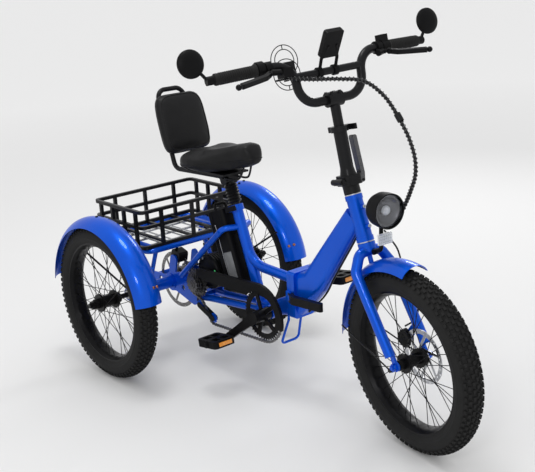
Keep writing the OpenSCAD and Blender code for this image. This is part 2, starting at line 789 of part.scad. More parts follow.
module drive_motor() color(black) trike() {
  fins = 6;
  fin_step = motor_w / (2 * fins + 1);
  fin_depth = 5;
  r = motor_d / 2;
  boss_h = plate_y - plate_t / 2 - (motor_w - motor_left_y);
  difference() {
    union() {
      crosswise([motor_centre[0], motor_left_y, motor_centre[1]]) rotate_extrude() polygon(concat(
        [[0, 0], [r - fin_depth, 0]],
        [for (i = [0 : fins - 1]) each [
          [r - fin_depth, fin_step * (2 * i + 1)], [r, fin_step * (2 * i + 1)],
          [r, fin_step * (2 * i + 2)], [r - fin_depth, fin_step * (2 * i + 2)]
        ]],
        [[r - fin_depth, motor_w - 4], [r - fin_depth - 4, motor_w], [0, motor_w]]
      ));
      crosswise([0, motor_left_y, 0]) linear_extrude(motor_w) link_plate(motor_centre, [jack_x, jack_z], case_r);
      crosswise([jack_x, motor_left_y - motor_w, jack_z]) cylinder(r = case_r - 4, h = boss_h);
    }
    crosswise([jack_x, plate_y, jack_z]) cylinder(d = shaft_d + 2 * run_gap, h = 2 * plate_y);
  }
}

// Chain drive. A belt is a list of sprockets, each [x, z, radius, +1 or -1 for the way round]
cog_step = 5;
cog_t = 2;
chain_h = 8.6;
outer_link_w = 7.4;
inner_link_w = 5.4;
tooth_gap = 0.5;
cassette_teeth = [cog_teeth + 4, cog_teeth + 2, cog_teeth, cog_teeth - 2, cog_teeth - 4, cog_teeth - 6];
guide_at = [184, 228];
tension_at = [256, 198];
hanger_at = [166, 236];
crank_belt = [
  [bb_x, bb_z, chain_r(ring_teeth), 1], [jack_x, jack_z, chain_r(cog_teeth), 1],
  [guide_at[0], guide_at[1], chain_r(pulley_teeth), -1], [tension_at[0], tension_at[1], chain_r(pulley_teeth), 1]
];
axle_belt = [[jack_x, jack_z, chain_r(output_teeth), 1], [0, axle_z, chain_r(axle_teeth), 1]];

function next(belt, i) = belt[(i + 1) % len(belt)];
function apart(belt, i) = [next(belt, i)[0] - belt[i][0], next(belt, i)[1] - belt[i][1]];
function change(belt, i) = belt[i][3] * belt[i][2] - next(belt, i)[3] * next(belt, i)[2];
function heading(belt, i) = atan2(apart(belt, i)[1], apart(belt, i)[0]) + asin(change(belt, i) / norm(apart(belt, i)));
function before(belt, i) = heading(belt, (i + len(belt) - 1) % len(belt));
function sweep(belt, i) = ((belt[i][3] * (heading(belt, i) - before(belt, i))) % 360 + 360) % 360;
function arc_len(belt, i) = sweep(belt, i) * PI / 180 * belt[i][2];
function run_len(belt, i) = sqrt(pow(norm(apart(belt, i)), 2) - pow(change(belt, i), 2));
function belt_len(belt, i = 0) = i == len(belt) ? 0 : arc_len(belt, i) + run_len(belt, i) + belt_len(belt, i + 1);
function rim_point(c, a) = [c[0] + c[3] * c[2] * sin(a), c[1] - c[3] * c[2] * cos(a)];
function belt_point(belt, d, i = 0) =
  let (c = belt[i], arc = arc_len(belt, i), run = run_len(belt, i), h = heading(belt, i))
    d < arc ? rim_point(c, before(belt, i) + c[3] * d / c[2] * 180 / PI) :
    d < arc + run ? rim_point(c, h) + (d - arc) * [cos(h), sin(h)] :
    belt_point(belt, d - arc - run, (i + 1) % len(belt));

// One link: two round ends and a waist, wide if outer and narrow if inner
module chain_link(p, q, outer) {
  w = outer ? outer_link_w : inner_link_w;
  end_r = outer ? chain_h / 2 : chain_h / 2 - 0.4;
  translate([0, 0, -w / 2]) linear_extrude(w) {
    for (c = [p, q]) translate(c) rotate(22.5) circle(r = end_r, $fn = 8);
    translate(p) rotate(atan2(q[1] - p[1], q[0] - p[0])) translate([0, -chain_h * 0.3])
      square([norm(q - p), chain_h * 0.6]);
  }
}

module chain(belt) {
  links = 2 * round(belt_len(belt) / pitch / 2);
  step = belt_len(belt) / links;
  for (k = [0 : links - 1])
    chain_link(belt_point(belt, k * step), belt_point(belt, (k + 1) % links * step), k % 2 == 0);
}

module chains() color(satin) trike() {
  crosswise([0, -chain_y, 0]) chain(crank_belt);
  crosswise([0, axle_chain_y, 0]) chain(axle_belt);
}

// A toothed ring. Where the chain lies on it, the teeth stop under the rollers
module sprocket(teeth, t, under_chain) {
  r = chain_r(teeth);
  tip = under_chain ? r - chain_h / 2 - tooth_gap : r + 2.8;
  root = tip - 5.5;
  translate([0, 0, -t / 2]) linear_extrude(t) polygon([
    for (i = [0 : teeth - 1], p = [[0.00, root], [0.42, root], [0.62, tip], [0.80, tip]])
      p[1] * [cos((i + p[0]) * 360 / teeth), sin((i + p[0]) * 360 / teeth)]
  ]);
}

module cassette() color(bright) trike() {
  crosswise([jack_x, 0, jack_z]) {
    for (k = [0 : len(cassette_teeth) - 1])
      translate([0, 0, chain_y + (k - 2) * cog_step]) sprocket(cassette_teeth[k], cog_t, k == 2);
    translate([0, 0, chain_y - 2 * cog_step - cog_t / 2])
      cylinder(d = jack_room_d - 4, h = 5 * cog_step + cog_t + 3);
    translate([0, 0, -axle_chain_y]) sprocket(output_teeth, 3, true);
    translate([0, 0, -axle_chain_y - 6]) cylinder(d = shaft_d, h = axle_chain_y + chain_y + 28);
  }
}

module crank_arm() linear_extrude(14) {
  link_plate([0, 0], [crank_len, 0], 13);
  circle(r = 19);
  polygon([[0, 17], [crank_len * 0.6, 13], [crank_len * 0.6, -13], [0, -17]]);
}
arm_in_y = 88;
arm_out_y = arm_in_y + 14;
pedal_out_y = 196;

module crankset() color(black) trike() translate(bb) rotate([0, -crank_angle, 0]) rotate([90, 0, 0]) {
  spider_r = 62;
  translate([0, 0, -arm_out_y]) cylinder(d = spindle_d, h = 2 * arm_out_y);
  translate([0, 0, arm_in_y]) crank_arm();
  translate([0, 0, -arm_out_y]) rotate(180) crank_arm();
  translate([0, 0, shell_w / 2 + 4]) cylinder(d = spindle_d + 20, h = arm_in_y - shell_w / 2 - 3);
  for (s = [-1, 1])
    translate([s * crank_len, 0, s > 0 ? arm_out_y - 1 : -pedal_out_y])
      cylinder(d = pedal_pin_d, h = pedal_out_y - arm_out_y + 1);
  translate([0, 0, chain_y]) {
    difference() {
      sprocket(ring_teeth, 3, true);
      translate([0, 0, -3]) cylinder(r = spider_r, h = 6);
    }
    for (i = [0 : 4]) rotate(i * 72 + 36) translate([0, -7, -1.5]) cube([spider_r + 6, 14, 5]);
  }
}

function pedal_at(s) = bb + crank_len * s * [cos(crank_angle), 0, sin(crank_angle)];

// A platform pedal: a caged frame round a barrel, with a reflector at each edge
module pedal(right) {
  size = [98, 82, 24];
  barrel_d = 24;
  mid_y = (arm_out_y + 2 + pedal_out_y) / 2;
  reflector = [50, 5, 12];
  s = right ? -1 : 1;
  trike() translate(pedal_at(right ? 1 : -1) + [0, s * mid_y, 0]) rotate([0, pedal_tilt, 0]) {
    color(black) difference() {
      union() {
        translate([0, 0, -size[2] / 2]) linear_extrude(size[2]) difference() {
          round_rect(size[0], size[1], 12);
          for (x = [-1, 1], y = [-1, 1])
            translate([x * size[0] * 0.235, y * size[1] * 0.2]) round_rect(size[0] * 0.28, size[1] * 0.29, 5);
        }
        crosswise([0, size[1] / 2 + 3, 0]) cylinder(d = barrel_d, h = size[1] + 6);
      }
      crosswise([0, size[1], 0]) cylinder(d = pedal_pin_d + 2 * run_gap, h = 2 * size[1]);
      for (x = [-1, 1])
        translate([x * size[0] / 2 - reflector[1] / 2, -reflector[0] / 2, -reflector[2] / 2])
          cube([reflector[1], reflector[0], reflector[2]]);
    }
    color("orange") for (x = [-1, 1])
      translate([x * (size[0] / 2 - reflector[1] / 2) - (x > 0 ? 0 : reflector[1]), -reflector[0] / 2, -reflector[2] / 2])
        cube([reflector[1], reflector[0], reflector[2]]);
  }
}
pedal_tilt = -8;
module right_pedal() pedal(true);
module left_pedal() pedal(false);

// Derailleur with its two pulleys
cage_gap = 6;
cage_t = 1.8;
pulley_pin_d = 5;

module derailleur() color(black) trike() {
  plate_face = plate_y + plate_t / 2;
  for (s = [-1, 1])
    crosswise([0, -chain_y - s * (cage_gap + cage_t / 2) + cage_t / 2, 0]) linear_extrude(cage_t)
      link_plate(guide_at, tension_at, 10);
  for (p = [guide_at, tension_at])
    crosswise([p[0], -chain_y + cage_gap + cage_t / 2, p[1]])
      cylinder(d = pulley_pin_d, h = 2 * cage_gap + cage_t);
  crosswise([0, -plate_face, 0]) linear_extrude(chain_y - cage_gap - plate_face - cage_t / 2)
    link_plate(hanger_at, guide_at, 11);
}

module pulley(p) trike() crosswise([p[0], -chain_y, p[1]]) difference() {
  union() {
    sprocket(pulley_teeth, 3, true);
    translate([0, 0, -cage_gap + 1]) cylinder(d = 11, h = 2 * cage_gap - 2);
  }
  translate([0, 0, -2 * cage_gap]) cylinder(d = pulley_pin_d + 2 * run_gap, h = 4 * cage_gap);
}
module guide_pulley() color(paint) pulley(guide_at);
module tension_pulley() color(paint) pulley(tension_at);

// Guard over the upper run of the chain and round the front of the chainring
guard_y = 75;
guard_t = 2.5;
guard_r = [80, 106];
guard_end = [208, 350];
guard_end_r = 15;
guard_lip = 8;
guard_bracket = 76;

module guard_outline(inset) {
  r = [guard_r[0], guard_r[1] - inset];
  difference() {
    circle_at([bb_x, bb_z], 2 * r[1]);
    circle_at([bb_x, bb_z], 2 * r[0]);
    polygon([for (p = [[0, 0], [200, -52], [-10, -400], [-400, -400], [-400, 400], [-70, 400]]) p + [bb_x, bb_z]]);
  }
  difference() {
    polygon([
      [bb_x, bb_z], [bb_x, bb_z + r[1]], guard_end + [0, guard_end_r - inset],
      guard_end - [0, guard_end_r]
    ]);
    circle_at([bb_x, bb_z], 2 * r[0]);
    translate([bb_x - 260, bb_z]) square([260, r[0] - 24]);
  }
  circle_at(guard_end, 2 * (guard_end_r - inset));
}

module chain_guard() color(black) trike() {
  crosswise([0, -guard_y, 0]) linear_extrude(guard_t) guard_outline(0);
  crosswise([0, -guard_y + guard_lip, 0]) linear_extrude(guard_lip + 1) difference() {
    guard_outline(0);
    guard_outline(guard_t);
  }
  difference() {
    crosswise(seat_at(guard_bracket)) cylinder(d = 12, h = guard_y + 1);
    along_seat(seat_foot) cylinder(d = seat_tube_d + 2 * seat_gap, h = seat_tube_len);
  }
}

// Differential and rear brake
diff_r = 42;
diff_from = -12;
diff_to = 26;
rotor_seat_y = 18;
sleeve_d = rotor_bore - 2 * seat_gap;
sleeve_end = plate_y - bearing_w / 2 - move_gap - 0.2;
caliper_a = 74;

module differential() color(satin) trike() difference() {
  union() {
    crosswise([0, diff_to, axle_z]) cylinder(r = diff_r, h = diff_to - diff_from);
    crosswise([0, diff_to, axle_z]) cylinder(r = diff_r - 12, h = diff_to + rotor_seat_y);
    crosswise([0, sleeve_end, axle_z]) cylinder(d = sleeve_d, h = 2 * sleeve_end);
    crosswise([0, axle_chain_y, axle_z]) sprocket(axle_teeth, 3, true);
    for (i = [0 : 5])
      crosswise([0, -rotor_seat_y + 1, axle_z]) rotate((i + 0.5) * 60) translate([rotor_bolt_r, 0, 0])
        cylinder(d = 4.8, h = 5);
  }
  crosswise([0, 2 * plate_y, axle_z]) cylinder(d = shaft_d + 2 * run_gap, h = 4 * plate_y);
}

module rear_rotor() color(bright) trike() crosswise([0, -rotor_seat_y, axle_z]) rotor(rear_rotor_d);

// A brake caliper in the frame of its rotor: z across, from the mounting face at 0
module caliper(r, depth, slot_from) {
  slot_w = rotor_t + 3;
  difference() {
    translate([r, 0, 0]) linear_extrude(depth) round_rect(38, 46, 8);
    translate([0, -40, slot_from]) cube([r + 4, 80, slot_w]);
  }
  translate([r + 16, 8, depth - 10]) rotate([0, 90, 0]) cylinder(d = 9, h = 14);
}

module rear_caliper() color(black) trike() {
  face = plate_y - plate_t / 2;
  depth = 38;
  crosswise([0, -face + depth, axle_z]) rotate(caliper_a)
    caliper(rear_rotor_d / 2, depth, depth - (face - rotor_seat_y) - 1.5);
}

// Front frame half
tube_low = [706, 0, 412];
tube_high = [878, 0, 642];
tube_angle = 53;
head_bore = 34;
lip_h = 3;
boss_at = [40, 96];
latch_pivot = [hinge_x + 9, -hinge_w / 2 - 10, hinge_low_z + hinge_h / 2];
latch_h = 26;
latch_slot_h = 18;
latch_pin_d = 8;
latch_path = [[0, 0], [26, -12], [134, -2]];

module tube_slab(p, a, depth, width) translate(p) rotate([0, 90 - a, 0])
  linear_extrude(2) round_rect(depth, width, min(depth, width) * 0.36, $fn = 32);

module front_frame() color(paint) trike() difference() {
  union() {
    hinge_plate(hinge_x + move_gap);
    knuckle(hinge_low_z + hinge_lug_h + move_gap, hinge_h - 2 * hinge_lug_h - 2 * move_gap, true);
    hull() {
      tube_slab([hinge_x + hinge_t - 4, 0, hinge_low_z + hinge_h / 2], 0, hinge_h - 6, hinge_w - 18);
      tube_slab(tube_low, tube_angle, 84, 56);
    }
    hull() {
      tube_slab(tube_low, tube_angle, 84, 56);
      tube_slab(tube_high, tube_angle, 62, head_tube_d - 6);
    }
    along_head(head_base) {
      cylinder(d = head_tube_d, h = head_tube_len);
      for (z = [0, head_tube_len - 14]) translate([0, 0, z]) cylinder(d = head_tube_d + 4, h = 14);
      for (z = boss_at) translate([0, 0, z]) rotate([0, 90, 0]) cylinder(d = 14, h = head_tube_d / 2 + 8);
    }
    translate(latch_pivot) lever_post(latch_h + 4, latch_slot_h, 8, latch_pin_d);
    translate([hinge_x + move_gap, latch_pivot[1], latch_pivot[2] - latch_slot_h / 2 + move_gap])
      cube([hinge_t - move_gap, 30, latch_slot_h - 2 * move_gap]);
  }
  along_head(head_base) {
    translate([0, 0, -1]) cylinder(d = head_bore, h = head_tube_len + 2);
    for (z = boss_at) translate([head_tube_d / 2 - 2, 0, z]) rotate([0, 90, 0]) cylinder(d = 5, h = 20);
  }
  translate([hinge_x, hinge_pin_y, hinge_low_z - 1]) cylinder(d = hinge_pin_d + 2 * run_gap, h = hinge_h + 2);
}

module headset_and_fold_pin() color(satin) trike() {
  cup_h = 22;
  along_head(head_base) for (top = [false, true]) translate([0, 0, top ? head_tube_len : 0]) mirror([0, 0, top ? 0 : 1])
    difference() {
      union() {
        cylinder(d = head_tube_d, h = lip_h);
        translate([0, 0, -cup_h]) cylinder(d = head_bore - 2 * seat_gap, h = cup_h + 1);
      }
      translate([0, 0, -cup_h - 1]) cylinder(d = steerer_d + 2 * run_gap, h = cup_h + lip_h + 2);
    }
  translate([hinge_x, hinge_pin_y, hinge_low_z]) {
    translate([0, 0, -3]) cylinder(d = hinge_pin_d, h = hinge_h + 6);
    for (z = [-5, hinge_h + 1]) translate([0, 0, z]) cylinder(d = hinge_pin_d + 6, h = 4);
  }
}

module frame_latch() color(black) trike() translate(latch_pivot)
  quick_lever(latch_path, 16, latch_h, latch_slot_h, 14, latch_pin_d);

// Fork, with the fender, lamp and brake that turn with it
crown_h = 27;
crown_d = 50;
crown_low = head_base - head_dir * (lip_h + 0.4 + crown_h);
steerer_top = 26;
leg_path = [[930, 34, 552], [945, fork_leg_y, 505], [1078, fork_leg_y, 296]];
dropout_in = 50.5;
dropout_t = 7;
eyelet = [wheelbase - 20, axle_z - 16];
front_caliper_a = 157;
front_caliper_out = 50;
lamp_x = [975, 1037];
lamp_z = 687;
lens_d = 76;
bracket_foot = [952, 0, 556];

module fork() color(paint) steered() {
  along_head(crown_low) {
    cylinder(d = crown_d, h = crown_h);
    cylinder(d = steerer_d, h = crown_h + lip_h + 0.4 + head_tube_len + steerer_top);
  }
  bar(bracket_foot - [30, 0, 0], bracket_foot, 18);
  bent_tube(concat([for (i = [2 : -1 : 0]) leg_path[i]], mirrored(leg_path)), fork_leg_d, 30);
  for (left = [false, true]) flipped(!left) {
    crosswise([0, dropout_in + dropout_t, 0]) linear_extrude(dropout_t) {
      link_plate([1068, 312], [wheelbase, axle_z], 8);
      circle_at([wheelbase, axle_z], 28);
      link_plate([wheelbase, axle_z], eyelet, 8);
    }
    crosswise([wheelbase, dropout_in + dropout_t + 10, axle_z]) cylinder(d = 22, h = 11, $fn = 6);
  }
  crosswise([0, front_caliper_out + dropout_t, 0]) linear_extrude(dropout_t)
    link_plate([1049, 342], [wheelbase + 84 * cos(front_caliper_a), axle_z + 84 * sin(front_caliper_a)], 12);
  crosswise(front_axle + [0, dropout_in + dropout_t + 14, 0])
    cylinder(d = front_axle_d, h = 2 * (dropout_in + dropout_t + 14));
}

module front_caliper() color(black) steered() {
  depth = 18.5;
  crosswise(front_axle + [0, front_caliper_out, 0]) rotate(front_caliper_a)
    caliper(front_rotor_d / 2 + 2, depth, front_caliper_out - front_rotor_y - rotor_t - 1.5);
}

front_fender_w = fender_w - 12;

module front_fender() color(paint) steered() {
  stay_end = [fender_r - 24, 172];
  drop = 34;
  eye = [eyelet[0], dropout_in + dropout_t, eyelet[1]];
  crosswise(front_axle) fender_arc(front_fender_w, 82, 178);
  difference() {
    bar(crown_low - head_dir * drop, crown_low, 14);
    crosswise([leg_path[0][0], 12, leg_path[0][2]]) cylinder(d = fork_leg_d + 2 * seat_gap, h = 24);
    along_head(crown_low) cylinder(d = crown_d, h = crown_h);
  }
  color(black) for (left = [false, true]) flipped(!left) {
    bar(
      eye + [0, 3, 0],
      front_axle + [stay_end[0] * cos(stay_end[1]), front_fender_w / 2 - 1, stay_end[0] * sin(stay_end[1])],
      4.5
    );
    crosswise(eye + [0, 6, 0]) cylinder(d = 13, h = 6);
  }
}

module headlight() color(black) steered() {
  r = lamp_d / 2;
  depth = lamp_x[1] - lamp_x[0];
  difference() {
    translate([lamp_x[0], 0, lamp_z]) rotate([0, 90, 0]) rotate_extrude() polygon([
      [0, 0], [r * 0.5, 0], [r * 0.82, 8], [r * 0.96, 22], [r, 40], [r, depth],
      [r - 3, depth], [r - 3, depth - 10], [0, depth - 10]
    ]);
    translate([lamp_x[1] - 22, 0, lamp_z]) rotate([0, 90, 0]) cylinder(d = lens_d + 2 * seat_gap, h = 20);
  }
  bent_tube([bracket_foot + [8, 0, 0], [986, 0, 568], [994, 0, lamp_z - r + 6]], 12, 12);
  crosswise([bracket_foot[0] + 8 + seat_gap, 9, bracket_foot[2]]) cylinder(d = 16, h = 18);
}

// Lens of the headlight and the clear reflector under it
module lamp_optics() color("#e8eef2") steered() {
  translate([lamp_x[1] - 22, 0, lamp_z]) rotate([0, 90, 0]) rotate_extrude() polygon([
    [0, 0], [lens_d / 2, 0], [lens_d / 2, 10], [lens_d * 0.38, 14], [lens_d * 0.2, 16.5], [0, 17]
  ]);
  translate([1000, 0, 604]) difference() {
    translate([-6, -24, -16]) cube([20, 48, 32]);
    bar([-8, 0, -34], [-5.5, 0, 34], 12 + 2 * seat_gap);
  }
}

// Stem: a base on the steerer, and a tube that folds to the right about a pin along x
fold_y = 38;
fold_pin_d = 8;
fold_d = 17;
flange_t2 = 14;
flange_w = 60;
knuckle_x = 9;
knuckle_out = 25;
stem_latch_y = 40;
stem_latch_z = -8;
stem_latch_path = [[0, 0], [20, 3], [122, -2]];
collar_from = stem_len;
collar_w = 16;
collar_post = [-31, 23, collar_from + collar_w / 2];

module stem_flange() linear_extrude(flange_t2) {
  round_rect(flange_w, 2 * (fold_y - fold_d / 2) - 1, 14);
}
module at_stem_latch() translate([0, stem_latch_y, stem_latch_z]) rotate([0, -90, 0]) children();

module stem_base() color(black) {
  steered() difference() {
    along_head(head_top + head_dir * (lip_h + 0.4)) cylinder(d = 48, h = stem_base_h - 14);
    along_head(head_top) cylinder(d = steerer_d + 2 * run_gap, h = steerer_top + 0.5);
  }
  on_stem() {
    translate([0, 0, -flange_t2]) stem_flange();
    for (s = [-1, 1]) {
      translate([s > 0 ? knuckle_x : -knuckle_out, -fold_y, 0]) rotate([0, 90, 0])
        cylinder(d = fold_d, h = knuckle_out - knuckle_x);
      translate([s > 0 ? knuckle_x : -knuckle_out, -fold_y, -flange_t2 + 4])
        cube([knuckle_out - knuckle_x, fold_y - 20, flange_t2 - 4]);
    }
    translate([-knuckle_out - 2, -fold_y, 0]) rotate([0, 90, 0]) cylinder(d = fold_pin_d, h = 2 * knuckle_out + 4);
    at_stem_latch() lever_post(26, 16, 7, 7);
    translate([-7.7, 20, -flange_t2]) cube([15.4, stem_latch_y - 20, flange_t2 - 2]);
  }
}

module stem_tube() color(black) on_stem() difference() {
  union() {
    translate([0, 0, move_gap]) stem_flange();
    translate([0, 0, move_gap]) cylinder(d = stem_d, h = stem_len);
    translate([0, 0, move_gap]) cylinder(d1 = stem_d + 14, d2 = stem_d, h = 34);
    translate([0, 0, collar_from]) cylinder(d = stem_d + 12, h = collar_w);
    translate([-42, -11, collar_from]) cube([34, 22, collar_w]);
    translate(collar_post) lever_post(collar_w + 2, collar_w - 6, 5, 6);
    bar(collar_post - [0, 36, 0], collar_post, 6);
    translate([-knuckle_x + move_gap, -fold_y, 0]) rotate([0, 90, 0])
      cylinder(d = fold_d, h = 2 * (knuckle_x - move_gap));
    translate([-knuckle_x + move_gap, -fold_y, move_gap])
      cube([2 * (knuckle_x - move_gap), fold_y - 20, fold_d / 2]);
  }
  translate([0, 0, 6]) cylinder(d = riser_d + 2 * run_gap, h = stem_len + collar_w);
  translate([-60, -1.5, collar_from - 24]) cube([60, 3, collar_w + 30]);
  translate([-2 * knuckle_x, -fold_y, 0]) rotate([0, 90, 0]) cylinder(d = fold_pin_d + 2 * run_gap, h = 4 * knuckle_x);
}

module stem_latch() color(satin) on_stem() at_stem_latch() quick_lever(stem_latch_path, 13, 22, 16, 10, 7);
module collar_lever() color(satin) on_stem() translate(collar_post)
  quick_lever([[0, 0], [16, 13], [58, 13]], 8, collar_w, collar_w - 6, 7, 6);

// Handlebar, drawn on the right and mirrored to the left
bar_tip = [-27, -bar_half_w, bar_high_h - 3];
bar_path = [[0, 0, bar_low_h], [-2, -riser_y + 6, bar_low_h], [-2, -riser_y - 2, bar_high_h], bar_tip];
bar_out = unit(bar_tip - bar_path[2]);
bar_bend = 56;
cross_bar_z = 306;
cross_bar_d = 21;
grip_d = 33;
grip_len = 122;
mirror_pin = [10, 8];
brake_pivot = [22.7, -198, 327];
brake_tilt = 28.7;
brake_path = [[0, 0], [14, -20], [22, -50], [34, -100], [38, -118]];
brake_h = 14;
brake_slot = 8;
shift_pivot = [20, -150, 304];
shift_t = 5;
mirror_head = [-28, -393, 392];
mirror_d = 76;

module at_bar(left, inset) on_stem() flipped(left) along(bar_tip - bar_out * inset, bar_out) children();
module at_brake(left) on_stem() flipped(left) translate(brake_pivot) rotate([0, brake_tilt, 0]) children();

module handlebar() color(black) on_stem() {
  clamp_d = 42;
  clamp_w = 48;
  riser_from = 62;
  bent_tube(concat([for (i = [3 : -1 : 1]) bar_path[i]], [for (i = [1 : 3]) mirrored(bar_path)[i]]), bar_d, bar_bend);
  bar([0, -riser_y - 4, cross_bar_z], [0, riser_y + 4, cross_bar_z], cross_bar_d);
  translate([0, 0, riser_from]) cylinder(d = riser_d, h = bar_low_h - riser_from);
  crosswise([0, clamp_w / 2, bar_low_h]) cylinder(d = clamp_d, h = clamp_w);
  for (y = [-1, 1], x = [-1, 1])
    translate([x * 15, y * 13, bar_low_h + 8]) cylinder(d = 9, h = 14);
  for (left = [false, true]) flipped(left)
    along(bar_tip - bar_out, bar_out) cylinder(d = mirror_pin[0], h = mirror_pin[1] + 1);
}

// A grip in the frame of the bar's end: z runs outwards and the bore is the bar's
module grip(gap) difference() {
  r = grip_d / 2;
  rotate_extrude() polygon([
    [0, 0], [r + 3, 0], [r + 3, 5], [r, 8], [r - 1.5, grip_len * 0.3], [r - 0.5, grip_len * 0.55],
    [r - 1.5, grip_len * 0.8], [r, grip_len - 4], [r - 2, grip_len], [0, grip_len]
  ]);
  translate([0, 0, -1]) cylinder(d = bar_d + 2 * gap, h = grip_len + 2);
}
module left_grip() color(rubber) at_bar(true, grip_len + 2) grip(seat_gap);
module throttle_grip() color(rubber) at_bar(false, grip_len + 2) grip(run_gap);

// What is clamped on the bar: brake perches, throttle housing, shifter and switch box
module bar_controls() color(black) {
  sleeve = bar_d + 2 * seat_gap;
  for (left = [false, true]) {
    at_bar(left, 168) ring(bar_d + 11, sleeve, 18);
    at_brake(left) lever_post(brake_h + 3, brake_slot, 8, 6);
    on_stem() flipped(left) {
      difference() {
        union() {
          bar(brake_pivot + [-3, 0, -1.5], [0, -170, 334], 13);
          bar([10, -184, 330], [26, -157, 326], 17);
        }
        along(bar_tip - bar_out * 200, bar_out) cylinder(d = sleeve, h = 200);
        at_local_brake() difference() {
          translate([0, 0, -20]) cylinder(r = 10, h = 40);
          translate([0, 0, -brake_slot / 2 + move_gap]) cylinder(r = 12, h = brake_slot - 2 * move_gap);
        }
      }
    }
  }
  at_bar(false, grip_len + 22) ring(46, sleeve, 19);
  at_bar(true, grip_len + 26) difference() {
    union() {
      cylinder(d = 38, h = 23);
      translate([-34, -14, 0]) cube([30, 28, 23]);
    }
    translate([0, 0, -1]) cylinder(d = sleeve, h = 30);
  }
  on_stem() difference() {
    union() {
      translate(shift_pivot + [-16, -14, shift_t + move_gap]) cube([34, 30, 26]);
      translate(shift_pivot) cylinder(d = 8, h = shift_t + 6);
      translate(shift_pivot - [0, 0, 4 + move_gap]) cylinder(d = 14, h = 4);
    }
    bent_tube(bar_path, sleeve, bar_bend);
  }
}
module at_local_brake() translate(brake_pivot) rotate([0, brake_tilt, 0]) children();

module brake_lever() {
  quick_lever(brake_path, 12, brake_h, brake_slot, 10, 6);
  translate(concat(brake_path[4], -brake_h / 2)) cylinder(d = 17, h = brake_h);
}
module right_brake_lever() color(black) at_brake(false) brake_lever();
module left_brake_lever() color(black) at_brake(true) brake_lever();

module shift_lever() color(satin) on_stem() translate(shift_pivot) difference() {
  linear_extrude(shift_t) {
    circle(d = 18);
    link_plate([0, 0], [14, -18], 6);
    link_plate([14, -18], [18, -36], 7);
  }
  translate([0, 0, -1]) cylinder(d = 8 + 2 * run_gap, h = shift_t + 2);
}

// A round mirror on an arm that turns about the end of the bar
module mirror_piece(left) {
  hub_len = mirror_pin[1] + 12;
  on_stem() flipped(left) {
    difference() {
      union() {
        along(bar_tip + bar_out * move_gap, bar_out) cylinder(d = 24, h = hub_len);
        bar(bar_tip + bar_out * (move_gap + hub_len - 6), mirror_head, 9);
      }
      along(bar_tip - bar_out, bar_out) cylinder(d = mirror_pin[0] + 2 * run_gap, h = mirror_pin[1] + 2);
    }
    translate(mirror_head - [6, 0, 0]) rotate([0, 90, 0]) rotate_extrude() polygon([
      [0, 1.5], [mirror_d / 2 - 3, 1.5], [mirror_d / 2 - 3, 0], [mirror_d / 2, 0], [mirror_d / 2, 5],
      [mirror_d * 0.42, 11], [mirror_d * 0.24, 15], [0, 16]
    ]);
  }
}
module right_mirror() color(black) mirror_piece(false);
module left_mirror() color(black) mirror_piece(true);

// A tall display that leans towards the rider, on two arms from the cross bar
display_at = [54, -12, 377];
display_size = [15, 58, 84];
display_lean = 41;

module display() color(black) on_stem() {
  arms = [-32, 20];
  translate(display_at) rotate([0, display_lean, 0]) difference() {
    translate([-display_size[0] / 2, 0, 0]) rotate([0, 90, 0])
      linear_extrude(display_size[0]) round_rect(display_size[2], display_size[1], 7);
    translate([-display_size[0] / 2 - 1, -display_size[1] / 2 + 4, -display_size[2] / 2 + 14])
      cube([2, display_size[1] - 8, display_size[2] - 19]);
  }
  for (y = arms) {
    crosswise([0, y + 7, cross_bar_z]) ring(cross_bar_d + 9, cross_bar_d + 2 * seat_gap, 14);
    bent_tube([[9, y, cross_bar_z + 11], [24, y, cross_bar_z + 34], [57, y * 0.5 - 8, 372]], 9, 12);
  }
}

// Folding cup holder: two pairs of wire hoops on a clamp behind the bar
cup_y = -120;
cup_x = -21;
cup_wire = 2.6;
cup_hoops = [42, 30];
cup_rise = 19;

module cup_holder() color(black) on_stem() {
  mid_z = 337;
  for (s = [-1, 1]) translate([cup_x, cup_y, mid_z + s * cup_rise]) {
    for (r = cup_hoops) rotate([0, 90, 0]) rotate_extrude() translate([r, 0]) circle(d = cup_wire, $fn = 16);
    bar([0, 0, s * cup_hoops[1]], [0, 0, s * cup_hoops[0]], cup_wire);
  }
  difference() {
    translate([cup_x - 6, cup_y - 24, mid_z - 12]) cube([22, 44, 26]);
    bent_tube(bar_path, bar_d + 2 * seat_gap, bar_bend);
  }
}

// Seat: post with a rubber boot, saddle and backrest
post_from = 150;
boot_from = 342;
boot_h = 60;
head_at = seat_at(420);
pan_z = 698;
pan_t = 6;
pan_x = [214, 348];
saddle_nose_x = 466;
hoop_d = 16;
hoop_y = 52;
recline = 16;
pad_mid = [82, 0, 838];
hoop_mid = pad_mid - (pad_t / 2 + hoop_d / 2) * [cos(recline), 0, sin(recline)];

function hoop_at(z) = hoop_mid + [-(z - hoop_mid[2]) * tan(recline), 0, z - hoop_mid[2]];

module seat_post() color(black) trike() {
  along_seat(seat_at(post_from)) cylinder(d = post_d, h = 420 - post_from);
  along_seat(seat_at(boot_from)) rotate_extrude() polygon(concat(
    [[0, 0], [post_d / 2 + 5, 0]],
    [for (i = [0 : 5]) each [[post_d / 2 + 9, (i + 0.35) * boot_h / 6], [post_d / 2 + 5, (i + 1) * boot_h / 6]]],
    [[0, boot_h]]
  ));
  crosswise(head_at + [0, 24, 0]) cylinder(d = 34, h = 48);
  translate([head_at[0] - 26, -20, head_at[2]]) cube([52, 40, pan_z - pan_t - head_at[2]]);
}

